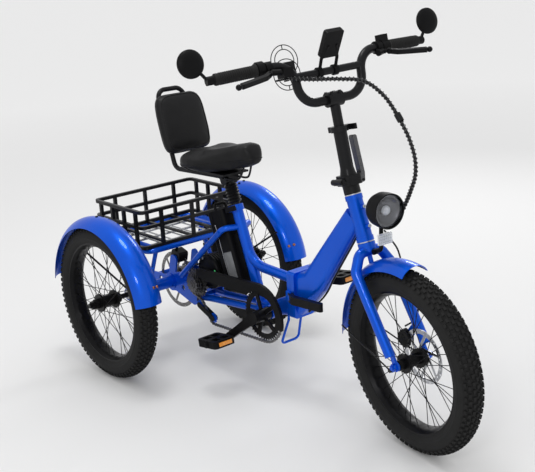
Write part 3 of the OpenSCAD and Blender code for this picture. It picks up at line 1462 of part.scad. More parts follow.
// Rings of the saddle from back to nose: place along it and share of the half width
saddle_plan = [
  [0.00, 0.62], [0.02, 0.80], [0.06, 0.92], [0.13, 0.99], [0.24, 1.00], [0.36, 0.95], [0.48, 0.82],
  [0.60, 0.65], [0.72, 0.50], [0.83, 0.40], [0.92, 0.33], [0.97, 0.25], [1.00, 0.13]
];
function saddle_ring(s, w) = [
  for (k = [0 : 31])
    let (
      a = 360 * k / 32,
      y = rounded(cos(a), 0.62) * w * saddle_w / 2,
      rise = saddle_h * min(1, 0.45 + 2.6 * min(s, 1 - s) / 0.3),
      lift = saddle_lift * max(0, s - 0.35) / 0.65,
      z = rise * 0.5 * (1 + rounded(sin(a), 0.63)),
      channel = 5 * exp(-pow(y / 14, 2)) * (s > 0.1 && s < 0.8 && sin(a) > 0 ? 1 : 0)
    )
      [saddle_nose_x - saddle_len * (1 - s), y * (1 + 0.08 * min(0, sin(a))), pan_z + lift + z - channel]
];
module saddle() color(black) trike() loft([for (p = saddle_plan) saddle_ring(p[0], p[1])]);

// The pad is a stack of rounded sections, drawn in at the top and bottom
pad_plan = [
  [-1.00, 0.62, 0.30], [-0.97, 0.80, 0.58], [-0.88, 0.92, 0.82], [-0.70, 0.98, 0.95], [-0.40, 1.00, 1.00],
  [0.00, 1.00, 1.00], [0.40, 0.99, 1.00], [0.70, 0.95, 0.95], [0.88, 0.86, 0.82], [0.97, 0.72, 0.58], [1.00, 0.54, 0.30]
];
module backrest_pad() color(black) trike() translate(pad_mid) rotate([0, -recline, 0])
  loft([
    for (p = pad_plan) [
      for (k = [0 : 31])
        let (a = 360 * k / 32, full = rounded(cos(a), 0.7))
          [full > 0 ? full * p[2] * pad_t / 2 : full * pad_t / 2 * min(1, p[2] + 0.3),
            rounded(sin(a), 0.55) * p[1] * pad_w / 2, p[0] * pad_h / 2]
    ]
  ]);

module backrest_frame() color(black) trike() {
  low_z = pan_z - hoop_d / 2 - 1.5;
  side = [
    [pan_x[1] - 20, hoop_y - 16, low_z],
    hoop_at(low_z) + [0, hoop_y, 0],
    hoop_at(951 - hoop_d / 2) + [0, hoop_y, 0]
  ];
  bent_tube(concat(side, [for (i = [2 : -1 : 0]) mirrored(side)[i]]), hoop_d, 30);
  translate([pan_x[0], -hoop_y, pan_z - pan_t]) cube([pan_x[1] - pan_x[0], 2 * hoop_y, pan_t]);
}

module seat_clamp_lever() color(satin) trike() at_seat_clamp()
  quick_lever([[0, 0], [16, -13], [60, -13]], 9, clamp_lever_h, clamp_slot_h, 7, clamp_pin_d);

// Cables. Their points are chosen by hand on the straight-ahead machine
bundle_d = 11;
bundle_top = [
  [812, -134, 1046], [836, -70, 1036], [870, -10, 1030],
  [922, 30, 1022], [976, 52, 984], [1020, 62, 930]
];
bundle_low = [
  [1022, 62, 927], [1054, 64, 880], [1074, 64, 830], [1072, 64, 780],
  [1050, 64, 735], [1022, 64, 690], [1004, 48, 646], [994, 12, 628]
];
brake_hose = [
  [985, 16, 619], [976, 38, 590], [964, 72, 545], [970, 83, 490],
  [1004, 83, 430], [1026, 83, 380], [1022, 72, 348], [1002, 52, 328]
];
frame_route = [
  [879, 4, 582], [845, 4, 532], [811, 4, 483], [777, 4, 433],
  [748, 4, 387], [714, 4, 349], [661, 4, 301]
];

module upper_cables() color(black) steered() cable(smooth(bundle_top, 4), bundle_d, 10);
module lower_cables() color(black) steered() cable(smooth(bundle_low, 4), bundle_d, 10);
module fork_cable() color(black) steered() cable(smooth(brake_hose, 4), 5, 8);
module frame_cable() color(black) trike() cable(smooth(frame_route, 4), 6, 8);

rear_frame();
rear_rack();
basket();
right_rear_fender();
left_rear_fender();
axle_bearings();
battery_dock();
battery_pack();
drive_motor();
chain_guard();
chains();
rear_caliper();
derailleur();
guide_pulley();
tension_pulley();
cassette();
crankset();
right_pedal();
left_pedal();
differential();
rear_rotor();
right_rear_wheel();
right_rear_tyre();
left_rear_wheel();
left_rear_tyre();
front_frame();
headset_and_fold_pin();
frame_latch();
fork();
front_fender();
headlight();
lamp_optics();
front_caliper();
stem_base();
front_wheel();
front_tyre();
front_rotor();
stem_tube();
stem_latch();
collar_lever();
handlebar();
bar_controls();
display();
cup_holder();
left_grip();
throttle_grip();
right_brake_lever();
left_brake_lever();
shift_lever();
right_mirror();
left_mirror();
seat_post();
saddle();
backrest_frame();
backrest_pad();
seat_clamp_lever();
upper_cables();
lower_cables();
fork_cable();
frame_cable();
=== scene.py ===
"""Looks of an adult folding tricycle with an electric drive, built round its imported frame."""

import json
import math

import bmesh
import bpy
from mathutils import Matrix, Vector

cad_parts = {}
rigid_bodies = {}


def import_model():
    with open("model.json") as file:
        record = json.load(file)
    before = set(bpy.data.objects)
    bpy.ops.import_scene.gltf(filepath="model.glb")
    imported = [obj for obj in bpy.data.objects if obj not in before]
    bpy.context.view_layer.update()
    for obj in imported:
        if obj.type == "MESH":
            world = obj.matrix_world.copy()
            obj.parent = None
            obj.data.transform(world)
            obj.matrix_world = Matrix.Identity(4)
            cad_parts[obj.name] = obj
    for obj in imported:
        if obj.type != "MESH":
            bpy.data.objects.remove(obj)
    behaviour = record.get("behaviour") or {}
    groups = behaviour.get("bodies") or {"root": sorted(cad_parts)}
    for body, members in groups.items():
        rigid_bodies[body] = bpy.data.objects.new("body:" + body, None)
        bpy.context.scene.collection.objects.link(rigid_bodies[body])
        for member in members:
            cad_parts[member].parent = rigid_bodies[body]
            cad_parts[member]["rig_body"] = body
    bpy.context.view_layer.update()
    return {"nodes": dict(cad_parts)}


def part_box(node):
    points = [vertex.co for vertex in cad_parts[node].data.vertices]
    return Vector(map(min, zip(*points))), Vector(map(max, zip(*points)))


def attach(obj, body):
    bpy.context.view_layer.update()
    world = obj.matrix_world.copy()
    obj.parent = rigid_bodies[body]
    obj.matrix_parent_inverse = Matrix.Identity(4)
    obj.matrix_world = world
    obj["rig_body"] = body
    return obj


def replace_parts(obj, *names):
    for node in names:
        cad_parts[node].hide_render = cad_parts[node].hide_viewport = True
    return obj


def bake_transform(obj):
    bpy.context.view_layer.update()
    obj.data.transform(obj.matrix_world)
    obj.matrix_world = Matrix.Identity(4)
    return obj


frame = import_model()
scene = bpy.context.scene
scene.view_settings.view_transform = "Standard"


# Camera. It stands at the front right of the machine, a little above the handlebar, and tips
# slightly to one side, as the photograph does.
CAMERA_AT = (2.2522, -1.9019, 1.3755)
CAMERA_LENS, SENSOR_WIDTH = 66.65, 36
CAMERA_ANGLES = (50.387, 16.139, -3.41)  # azimuth, elevation and roll
azimuth, elevation, roll = (math.radians(angle) for angle in CAMERA_ANGLES)
backwards = Vector((
    math.sin(azimuth) * math.cos(elevation),
    -math.cos(azimuth) * math.cos(elevation),
    math.sin(elevation),
))
level = Vector((0, 0, 1)).cross(backwards).normalized()
upright = backwards.cross(level)
tipped_x = level * math.cos(roll) + upright * math.sin(roll)
tipped_y = upright * math.cos(roll) - level * math.sin(roll)
camera = bpy.data.objects.new("camera", bpy.data.cameras.new("camera"))
camera.data.lens = CAMERA_LENS
camera.data.sensor_width = SENSOR_WIDTH
facing_back = Matrix((tipped_x, tipped_y, backwards)).transposed().to_4x4()
camera.matrix_world = Matrix.Translation(CAMERA_AT) @ facing_back
scene.collection.objects.link(camera)
scene.camera = camera


# Studio. A pale seamless floor that runs out into a pale backdrop, with soft round lamps above the
# machine, in front of it and on its left. The floor's colour holds painted shade round the machine.
class Flow:
    """A shader socket that can be used in sums and fed to further nodes."""

    def __init__(self, tree, socket=None):
        self.tree, self.socket = tree, socket

    def node(self, kind, sockets=(), out=0, **settings):
        """A new node: its settings first, then the values or links of its sockets."""
        made = self.tree.nodes.new("ShaderNode" + kind)
        for name, value in settings.items():
            setattr(made, name, value)
        for name, value in dict(sockets).items():
            if isinstance(value, Flow):
                self.tree.links.new(value.socket, made.inputs[name])
            else:
                made.inputs[name].default_value = value
        return Flow(self.tree, made.outputs[out] if made.outputs else None)

    def maths(self, operation, first, second):
        """One Math node on two values."""
        return self.node("Math", {0: first, 1: second}, operation=operation)

    def __add__(self, other):
        return self.maths("ADD", self, other)

    def __mul__(self, other):
        return self.maths("MULTIPLY", self, other)

    __radd__, __rmul__ = __add__, __mul__


def finish(name, colour, roughness, **sockets):
    """A Principled material, and a Flow that starts in its tree."""
    material = bpy.data.materials.new(name)
    material.use_nodes = True
    shader = material.node_tree.nodes["Principled BSDF"]
    shader.inputs["Base Color"].default_value = (*colour, 1)
    shader.inputs["Roughness"].default_value = roughness
    for socket, value in sockets.items():
        shader.inputs[socket.replace("_", " ")].default_value = value
    return material, Flow(material.node_tree)


def feed(material, **links):
    """Links flows to the sockets of a material's shader."""
    shader = material.node_tree.nodes["Principled BSDF"]
    for socket, flow in links.items():
        flow.tree.links.new(flow.socket, shader.inputs[socket.replace("_", " ")])


def shades(flow, amount, dark, light):
    """A colour between two, by an amount from 0 to 1."""
    ends = {"Factor": amount, "A": (*dark, 1), "B": (*light, 1)}
    return flow.node("Mix", ends, out=2, data_type="RGBA")


BACKDROP = (0.74, 0.74, 0.75)
FLOOR = (0.92, 0.92, 0.92)
# Painted shade: the floor is given a darker colour near the machine, paling to FLOOR far off.
FLOOR_SHADED_NEAR = (0.72, 0.72, 0.72)
FLOOR_HALF, FLOOR_FADE = 70, 0.14  # metres, and how fast it pales with distance
SKY_LIGHT = 0.9
scene.world = bpy.data.worlds.new("studio")
scene.world.use_nodes = True
scene.world.node_tree.nodes.clear()
sky = Flow(scene.world.node_tree)
SEEN_BY = ("Is Camera Ray", "Is Glossy Ray", "Is Transmission Ray")
rays = [sky.node("LightPath", out=ray) for ray in SEEN_BY]
seen = sky.node("Clamp", {"Value": rays[0] + rays[1] + rays[2]})
lit = sky.node("Background", {"Color": (1, 1, 1, 1), "Strength": SKY_LIGHT})
shown = sky.node("Background", {"Color": (*BACKDROP, 1), "Strength": 1})
mixed = sky.node("MixShader", {0: seen, 1: lit, 2: shown})
sky.node("OutputWorld", {"Surface": mixed})

floor_form = bmesh.new()
bmesh.ops.create_grid(floor_form, x_segments=2, y_segments=2, size=FLOOR_HALF)
floor_mesh = bpy.data.meshes.new("floor")
floor_form.to_mesh(floor_mesh)
floor_form.free()
floor = bpy.data.objects.new("floor", floor_mesh)
scene.collection.objects.link(floor)
floor_paint, flow = finish("studio_floor", FLOOR, 0.75, Specular_IOR_Level=0.1)
# Painted light and shade: the floor's colour runs from darker near the machine, where the lamps' pool
# falls and a dim ground lies round the wheels, to paler far off, where only the sky lights it.
place = flow.node("TexCoord", out="Object")
reach = flow.node("VectorMath", {0: place}, out="Value", operation="LENGTH")
feed(floor_paint, Base_Color=shades(flow, reach * FLOOR_FADE, FLOOR_SHADED_NEAR, FLOOR))
floor_mesh.materials.append(floor_paint)

LAMPS = {  # place, aim, width in metres and power in watts
    "overhead": ((-0.2, -0.3, 2.9), (0, 0, 0.4), 0.8, 20),
    "front_right": ((2.2, -2.6, 2.3), (0.1, 0, 0.6), 0.6, 18),
    "left_back": ((-1.5, 2.6, 2.0), (0, 0, 0.6), 0.7, 14),
}
for name, (at, towards, size, power) in LAMPS.items():
    lamp = bpy.data.objects.new(name, bpy.data.lights.new(name, "AREA"))
    lamp.data.shape, lamp.data.size, lamp.data.energy = "DISK", size, power
    lamp.location = at
    lamp.rotation_euler = (Vector(at) - Vector(towards)).to_track_quat("Z", "Y").to_euler()
    scene.collection.objects.link(lamp)


# Cables. A spirally wrapped bundle loops from the controls to the lamp, a brake hose runs down
# the left fork leg, and one more cable follows the main tube under its belly.
REAR_AXLE_X = -533
HEAD_BASE = Vector((0.383, 0, 0.576))
HEAD_DIR = Vector((-0.320613, 0, 0.94721))
STEER = Matrix.Rotation(math.radians(-10), 3, HEAD_DIR)
BUNDLE_TOP = [
    (812, -134, 1046), (836, -70, 1036), (870, -10, 1030),
    (922, 30, 1022), (976, 52, 984), (1020, 62, 930),
]
BUNDLE_LOW = [
    (1022, 62, 927), (1054, 64, 880), (1074, 64, 830), (1072, 64, 780),
    (1050, 64, 735), (1022, 64, 690), (1004, 48, 646), (994, 12, 628),
]
BRAKE_HOSE = [
    (985, 16, 619), (976, 38, 590), (964, 72, 545), (970, 83, 490),
    (1004, 83, 430), (1026, 83, 380), (1022, 72, 348), (1002, 52, 328),
]
FRAME_ROUTE = [
    (879, 4, 582), (845, 4, 532), (811, 4, 483), (777, 4, 433),
    (748, 4, 387), (714, 4, 349), (661, 4, 301),
]


def on_frame(point):
    """A point of the source, in millimetres from the rear axle, in the row frame."""
    return Vector((point[0] + REAR_AXLE_X, point[1], point[2])) / 1000


def on_fork(point):
    """The same for what turns with the fork."""
    return HEAD_BASE + STEER @ (on_frame(point) - HEAD_BASE)


def route(points, steps=8):
    """Points close together on the smooth curve through a few."""
    ends = [points[0], *points, points[-1]]
    fine = []
    for p0, p1, p2, p3 in zip(ends, ends[1:], ends[2:], ends[3:]):
        for t in (s / steps for s in range(steps)):
            fine.append(
                p1 + (p2 - p0) * t / 2 + (2 * p0 - 5 * p1 + 4 * p2 - p3) * t * t / 2
                + (3 * p1 - p0 - 3 * p2 + p3) * t**3 / 2
            )
    return [*fine, points[-1]]


def settle(form, name, body, material, sharp=34):
    """Makes a form a smoothly shaded piece that rides on a body."""
    for edge in form.edges:
        edge.smooth = edge.calc_face_angle(0) < math.radians(sharp)
    for face in form.faces:
        face.smooth = True
    mesh = bpy.data.meshes.new(name)
    form.to_mesh(mesh)
    form.free()
    mesh.materials.append(material)
    piece = bpy.data.objects.new(name, mesh)
    scene.collection.objects.link(piece)
    if body:
        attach(piece, body)
    return piece


def tube(name, points, radius, body, material, sides=12):
    """A mesh tube along points: a ring that is extruded and set square to the way at each one."""
    form = bmesh.new()
    ring = bmesh.ops.create_circle(form, cap_ends=True, radius=radius, segments=sides)["verts"]
    last = Matrix.Identity(4)
    hold = Vector((0, 1, 0))
    for i, point in enumerate(points):
        way = (points[min(i + 1, len(points) - 1)] - points[max(i - 1, 0)]).normalized()
        hold = (hold - way * hold.dot(way)).normalized()
        square = Matrix((hold, way.cross(hold), way)).transposed().to_4x4()
        here = Matrix.Translation(point) @ square
        if i:
            face = next(f for f in ring[0].link_faces if len(f.verts) == sides)
            grown = bmesh.ops.extrude_face_region(form, geom=[face])["geom"]
            ring = [v for v in grown if isinstance(v, bmesh.types.BMVert)]
        bmesh.ops.transform(form, matrix=here @ last.inverted(), verts=ring)
        last = here
    bmesh.ops.recalc_face_normals(form, faces=form.faces)
    return settle(form, name, body, material, sharp=60)


def wound(points, radius, pitch, sides=12):
    """Points of a helix round a path, so many to each turn."""
    hold, so_far, turns = Vector((0, 1, 0)), 0, []
    for a, b in zip(points, points[1:]):
        way = (b - a).normalized()
        hold = (hold - way * hold.dot(way)).normalized()
        steps = max(1, round((b - a).length / pitch * sides))
        for s in range(steps):
            angle = so_far + math.tau * (b - a).length / pitch * s / steps
            spoke = hold * math.cos(angle) + way.cross(hold) * math.sin(angle)
            turns.append(a.lerp(b, s / steps) + spoke * radius)
        so_far += math.tau * (b - a).length / pitch
    return turns


def mottle(flow, scale, detail):
    """Cloudy noise on a piece's own coordinates."""
    place = flow.node("TexCoord", out="Object")
    return flow.node("TexNoise", {"Vector": place, "Scale": scale, "Detail": detail})


jacket, flow = finish("cable_jacket", (0.008, 0.008, 0.009), 0.4, Specular_IOR_Level=0.2)
scuff = mottle(flow, 140, 3)
feed(jacket, Roughness=scuff * 0.3 + 0.28)
wrap, flow = finish("spiral_wrap", (0.016, 0.016, 0.017), 0.2, Specular_IOR_Level=0.8)
scuff = mottle(flow, 220, 3)
feed(wrap, Roughness=scuff * 0.25 + 0.1)

upper_way = route([on_fork(p) for p in BUNDLE_TOP])
lower_way = route([on_fork(p) for p in BUNDLE_LOW])
hose_way = route([on_fork(p) for p in BRAKE_HOSE])
frame_way = route([on_frame(p) for p in FRAME_ROUTE])
WRAP_LIFT, WRAP_PITCH, WRAP_R = 0.0008, 0.0115, 0.0019
CORDS = {  # node, route, diameter and length in metres
    "upper_bundle": ("upper_cables", upper_way, 0.0088, 0.346),
    "lower_bundle": ("lower_cables", lower_way, 0.0088, 0.357),
    "brake_hose": ("fork_cable", hose_way, 0.005, 0.346),
    "frame_lead": ("frame_cable", frame_way, 0.006, 0.358),
}
CROSSING = {  # bodies at the far and near ends, and the share of the route that follows the near one
    "upper_bundle": ("stem", "handlebar", 0.5),
    "lower_bundle": ("fork", "stem", 0),
}
for name, (node, way, thick, length) in CORDS.items():
    body = None if name in CROSSING else frame["nodes"][node]["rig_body"]
    cord = tube(name, way, thick / 2, body, jacket)
    pieces = []
    if "bundle" in name:
        turns = wound(way, thick / 2 + WRAP_LIFT, WRAP_PITCH)
        pieces = [tube(name + "_wrap", turns, WRAP_R, body, wrap, sides=6)]
    for piece in (cord, *pieces) if not body else ():
        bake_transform(piece)
    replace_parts(cord, node)


# Sleeve. A black shrink sleeve, which rides on the stem, covers the place where the two lengths of
# wrapped bundle meet.
def stand(at, along):
    """A place and a direction as a matrix, with Z along the direction."""
    return Matrix.Translation(at) @ Vector(along).to_track_quat("Z", "Y").to_matrix().to_4x4()


def turned(name, outline, at, along, body, material, steps=32, sharp=34):
    """A lathe-turned piece: an outline of (radius, height) in millimetres, spun round a line."""
    form = bmesh.new()
    spots = [form.verts.new((r / 1000, 0, h / 1000)) for r, h in outline]
    closing = [spots[0]] if outline[0][0] else []
    edges = [form.edges.new(pair) for pair in zip(spots, spots[1:] + closing)]
    bmesh.ops.spin(
        form, geom=spots + edges, axis=(0, 0, 1), cent=(0, 0, 0), angle=math.tau, steps=steps,
        use_merge=True,
    )
    bmesh.ops.remove_doubles(form, verts=form.verts, dist=1e-6)
    bmesh.ops.recalc_face_normals(form, faces=form.faces)
    bmesh.ops.transform(form, matrix=stand(at, along), verts=form.verts)
    return settle(form, name, body, material, sharp)


SLEEVE = [(8.3, -12), (9.1, -11), (9.1, 11), (8.3, 12)]
join, along = (upper_way[-1] + lower_way[0]) / 2, lower_way[1] - upper_way[-2]
turned("bundle_sleeve", SLEEVE, join, along, "stem", jacket, 20)


# Frame halves. Steel tubes, welded, then dipped in a bright blue enamel with a fine flake in it and
# a clear coat over it. The fork, fenders and carrier wear the same paint.
MERGE_WITHIN, FLAT_WITHIN, HARD_EDGE = 3e-6, 0.02, math.radians(50)


def skin(node, material, sharp=34, round_by=0):
    """A merged copy of a CAD node, which stands for it, with its hard edges rounded if asked."""
    form = bmesh.new()
    form.from_mesh(frame["nodes"][node].data)
    bmesh.ops.remove_doubles(form, verts=form.verts, dist=MERGE_WITHIN)
    for face in form.faces:
        face.material_index = 0
    if round_by:
        bmesh.ops.dissolve_limit(form, angle_limit=FLAT_WITHIN, verts=form.verts, edges=form.edges)
        edges = [e for e in form.edges if e.is_manifold and e.calc_face_angle(0) > HARD_EDGE]
        bmesh.ops.bevel(
            form, geom=edges, offset=round_by / 1000, segments=2, profile=0.5, affect="EDGES",
            material=-1, clamp_overlap=True,
        )
    piece = settle(form, "made_" + node, frame["nodes"][node]["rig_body"], material, sharp)
    even = piece.modifiers.new("even_shading", "WEIGHTED_NORMAL")
    even.keep_sharp = True
    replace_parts(piece, node)
    return piece


def cells(flow, scale):
    """Small round cells on a piece's own coordinates."""
    place = flow.node("TexCoord", out="Object")
    return flow.node("TexVoronoi", {"Vector": place, "Scale": scale}, out="Distance")


def raised(flow, height, strength, distance):
    """A bump for a shader's normal."""
    return flow.node("Bump", {"Height": height, "Strength": strength, "Distance": distance})


def repaint(piece, material, where):
    """Gives a second material to faces whose middle, in millimetres of the source, passes a test."""
    piece.data.materials.append(material)
    last = len(piece.data.materials) - 1
    for face in piece.data.polygons:
        middle = face.center * 1000
        if where(middle.x - REAR_AXLE_X, middle.y, middle.z):
            face.material_index = last


ENAMEL_DARK = (0.0, 0.042, 0.42)
ENAMEL = (0.0, 0.115, 0.74)
enamel, flow = finish(
    "blue_enamel", ENAMEL, 0.36, Metallic=0.5, Specular_IOR_Level=0.05, Coat_Weight=0.4,
    Coat_Roughness=0.04,
)
flake = cells(flow, 1400)
peel = mottle(flow, 260, 1)
cloud = mottle(flow, 6, 2)
feed(
    enamel,
    Base_Color=shades(flow, flake * 0.6 + cloud * 0.5, ENAMEL_DARK, ENAMEL),
    Normal=raised(flow, peel, 0.05, 0.0006),
)
for node in ("rear_frame", "front_frame", "fork"):
    skin(node, enamel)


# Black finishes: satin powder coat on steel, anodised alloy, and moulded plastic with a fine spark
# texture. They serve the carrier's basket, the wheels, the drive and the controls.
powder, flow = finish(
    "black_powder_coat", (0.006, 0.006, 0.007), 0.36, Specular_IOR_Level=0.16, Coat_Weight=0.08,
    Coat_Roughness=0.2,
)
grain = mottle(flow, 900, 2)
haze = mottle(flow, 35, 3)
feed(
    powder,
    Roughness=haze * 0.2 + 0.26,
    Normal=raised(flow, grain, 0.12, 0.0003),
)
anodised, flow = finish(
    "black_anodised", (0.006, 0.006, 0.0065), 0.32, Metallic=0.3, Specular_IOR_Level=0.14
)
haze = mottle(flow, 60, 4)
feed(
    anodised,
    Base_Color=shades(flow, haze, (0.003, 0.003, 0.0035), (0.01, 0.01, 0.011)),
    Roughness=haze * 0.25 + 0.22,
)
moulded, flow = finish("black_moulding", (0.004, 0.004, 0.0045), 0.46, Specular_IOR_Level=0.11)
spark = cells(flow, 1100)
haze = mottle(flow, 25, 3)
feed(
    moulded,
    Base_Color=shades(flow, haze, (0.0024, 0.0024, 0.0028), (0.0056, 0.0056, 0.006)),
    Roughness=haze * 0.2 + 0.36,
    Normal=raised(flow, spark, 0.15, 0.0003),
)


# Bright steel for rotors, bearings, headset, fasteners and the carrier's rods. Chains and sprockets
# are darker, with oil and grime on them.
steel, flow = finish("bright_steel", (0.55, 0.56, 0.58), 0.28, Metallic=1.0)
brush = mottle(flow, 420, 4)
feed(
    steel,
    Base_Color=shades(flow, brush, (0.42, 0.43, 0.45), (0.68, 0.69, 0.71)),
    Roughness=brush * 0.25 + 0.18,
)
satin, flow = finish("satin_grey_alloy", (0.10, 0.10, 0.105), 0.3, Metallic=0.9)
brush = mottle(flow, 260, 3)
feed(
    satin,
    Base_Color=shades(flow, brush, (0.07, 0.07, 0.075), (0.16, 0.16, 0.165)),
    Roughness=brush * 0.2 + 0.2,
)
oiled, flow = finish("oiled_steel", (0.16, 0.16, 0.165), 0.4, Metallic=1.0)
grime = mottle(flow, 180, 4)
feed(
    oiled,
    Base_Color=shades(flow, grime, (0.05, 0.045, 0.04), (0.30, 0.30, 0.31)),
    Roughness=grime * 0.3 + 0.25,
)
for node in ("axle_bearings", "front_rotor", "headset_and_fold_pin"):
    skin(node, steel)
for node in ("chains", "cassette", "rear_rotor", "differential"):
    skin(node, oiled)


# Carrier and basket. The carrier's rails are painted blue with bright rods laid between them, and
# the basket of square bar is powder coated black.
ROD_Z, ROD_R, ROD_HALF, ROD_ENDS = 428, 5, 140, (-186, 86)


def on_a_rod(x, y, z):
    """Whether a point of the carrier lies on one of its bright rods."""
    return abs(z - ROD_Z) < ROD_R and abs(y) < ROD_HALF and ROD_ENDS[0] < x < ROD_ENDS[1]


repaint(skin("rear_rack", enamel), steel, on_a_rod)
skin("basket", powder)


# Fenders. Rolled sheet with a crowned section in the frame's blue, held by black stays from the axle
# and by bolts through the crown: two coppery ones at the lower end and dark ones on top.
AXLE_Z, WHEEL_Y, FRONT_AXLE_X = 268, 314, 1090
FENDER_R, CROWN_R, STAY_R = 292, 56, 258
BOLT_HEAD = [(0, -1), (5, -1), (5, 1.6), (4.2, 3), (2.6, 3.6), (2.6, 1.2), (0, 1.2)]


def bolt(name, at, along, body, material, size=1.0):
    """A round-headed bolt with a socket in it; at size 1 its head has a radius of 5 mm."""
    outline = [(r * size, h * size) for r, h in BOLT_HEAD]
    return turned(name, outline, at, along, body, material, 18)


copper, flow = finish("coppery_bolt", (0.50, 0.20, 0.09), 0.3, Metallic=1.0)
tarnish = mottle(flow, 500, 3)
feed(copper, Base_Color=shades(flow, tarnish, (0.30, 0.12, 0.06), (0.62, 0.27, 0.13)))
FENDER_BOLTS = (  # angle round the wheel, way in from the crown, and metal
    (21, 16, copper), (21, 33, copper), (92, 0, powder), (92, 22, powder),
    (150, 0, powder), (150, 24, powder),
)
for side, y in (("right", -WHEEL_Y), ("left", WHEEL_Y)):
    fender = skin(side + "_rear_fender", enamel)
    repaint(fender, powder, lambda x, y, z: math.hypot(x, z - AXLE_Z) < STAY_R)
    inwards = math.copysign(1, -y)
    for number, (lean, across, metal) in enumerate(FENDER_BOLTS):
        turn, roll_by = math.radians(lean), math.asin(across / CROWN_R)
        radial = Vector((math.cos(turn), 0, math.sin(turn)))
        outwards = radial * math.cos(roll_by) + Vector((0, inwards * math.sin(roll_by), 0))
        crown = radial * (FENDER_R - CROWN_R) + outwards * CROWN_R
        at = on_frame(crown + Vector((0, y, AXLE_Z)))
        bolt(f"{side}_fender_bolt_{number}", at, outwards, "rear_frame", metal)
front_fender = skin("front_fender", enamel)
front_hub = on_fork((FRONT_AXLE_X, 0, AXLE_Z))
stays_meet = front_hub * 1000 - Vector((REAR_AXLE_X, 0, 0))
repaint(front_fender, powder, lambda x, y, z: (Vector((x, y, z)) - stays_meet).length < STAY_R)


# Wheels. Black rims and hubs with crossed black spokes, and fat knobby tyres: a smooth sidewall with
# a raised ring near the rim, and seven staggered columns of small blocks over the crown.
for node in ("right_rear_wheel", "left_rear_wheel", "front_wheel"):
    skin(node, anodised)
rubber, flow = finish("tyre_rubber", (0.012, 0.012, 0.012), 0.8, Specular_IOR_Level=0.18)
dust = mottle(flow, 40, 4)
grain = mottle(flow, 1200, 2)
feed(
    rubber,
    Base_Color=shades(flow, dust, (0.007, 0.007, 0.007), (0.019, 0.019, 0.019)),
    Roughness=dust * 0.2 + 0.62,
    Normal=raised(flow, grain, 0.25, 0.0005),
)
SECTION_AT, SECTION_R, TYRE_STEPS = 0.227, 0.0362, 120
BLOCK_LONG, BLOCK_WIDE, BLOCK_HIGH, BLOCK_TOP = 0.0122, 0.0088, 0.0048, 0.8
BLOCK_ROWS = 80
COLUMNS = ((-34, 0), (0, 0), (34, 0), (-51, 0.5), (-17, 0.5), (17, 0.5), (51, 0.5))
tyre = bmesh.new()
rim_seat = [(0.2035, 0.0205), (0.2042, 0.0262), (0.2085, 0.0302)]
bulge = []
for lean in range(112, -113, -4):
    swell = SECTION_R + (0.0011 if 92 <= abs(lean) <= 98 else 0.0005 if 62 <= abs(lean) <= 66 else 0)
    lean = math.radians(lean)
    bulge.append((SECTION_AT + swell * math.cos(lean), swell * math.sin(lean)))
outline = [*rim_seat, *bulge, *((r, -y) for r, y in reversed(rim_seat))]
spots = [tyre.verts.new((r, y, 0)) for r, y in outline]
edges = [tyre.edges.new(pair) for pair in zip(spots, spots[1:] + spots[:1])]
bmesh.ops.spin(
    tyre, geom=spots + edges, axis=(0, 1, 0), cent=(0, 0, 0), angle=math.tau, steps=TYRE_STEPS,
    use_merge=True,
)
bmesh.ops.remove_doubles(tyre, verts=tyre.verts, dist=1e-6)
bmesh.ops.recalc_face_normals(tyre, faces=tyre.faces)
for lean, offset in COLUMNS:
    tip = math.radians(lean)
    for row in range(BLOCK_ROWS):
        turn = math.tau * (row + offset) / BLOCK_ROWS
        radial = Vector((math.cos(turn), 0, math.sin(turn)))
        forwards = Vector((-math.sin(turn), 0, math.cos(turn)))
        outwards = radial * math.cos(tip) + Vector((0, 1, 0)) * math.sin(tip)
        across = outwards.cross(forwards)
        at = radial * SECTION_AT + outwards * SECTION_R
        sides = (forwards * BLOCK_LONG, across * BLOCK_WIDE, outwards * 2 * BLOCK_HIGH)
        spread = Matrix.Translation(at) @ Matrix(sides).transposed().to_4x4()
        knob = bmesh.ops.create_cube(tyre, size=1, matrix=spread)["verts"]
        top = [v for v in knob if (v.co - at).dot(outwards) > 0]
        middle = sum((v.co for v in top), Vector()) / 4
        for v in top:
            v.co = middle + (v.co - middle) * BLOCK_TOP
tyre_mesh = bpy.data.meshes.new("tyre_form")
tyre.to_mesh(tyre_mesh)
tyre.free()
for node, hub, turn in (
    ("right_rear_tyre", on_frame((0, -WHEEL_Y, AXLE_Z)), Matrix.Identity(3)),
    ("left_rear_tyre", on_frame((0, WHEEL_Y, AXLE_Z)), Matrix.Identity(3)),
    ("front_tyre", front_hub, STEER),
):
    form = bmesh.new()
    form.from_mesh(tyre_mesh)
    bmesh.ops.transform(form, matrix=Matrix.Translation(hub) @ turn.to_4x4(), verts=form.verts)
    body = frame["nodes"][node]["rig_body"]
    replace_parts(settle(form, "made_" + node, body, rubber), node)
bpy.data.meshes.remove(tyre_mesh)


# Drive. A finned motor with its gear case is bolted into the rear frame, chains run from the crank to
# the cassette and on to the axle, and the battery stands in its dock against the seat tube.
def block(name, size, place_at, body, material, rounded_by):
    """A box of that size in millimetres with rounded edges, set in a place given as a matrix."""
    form = bmesh.new()
    bmesh.ops.create_cube(form, size=1, matrix=Matrix.Diagonal((*(s / 1000 for s in size), 1)))
    bmesh.ops.bevel(
        form, geom=form.edges[:], offset=rounded_by / 1000, segments=3, profile=0.5, affect="EDGES",
        material=-1,
    )
    bmesh.ops.transform(form, matrix=place_at, verts=form.verts)
    return settle(form, name, body, material)


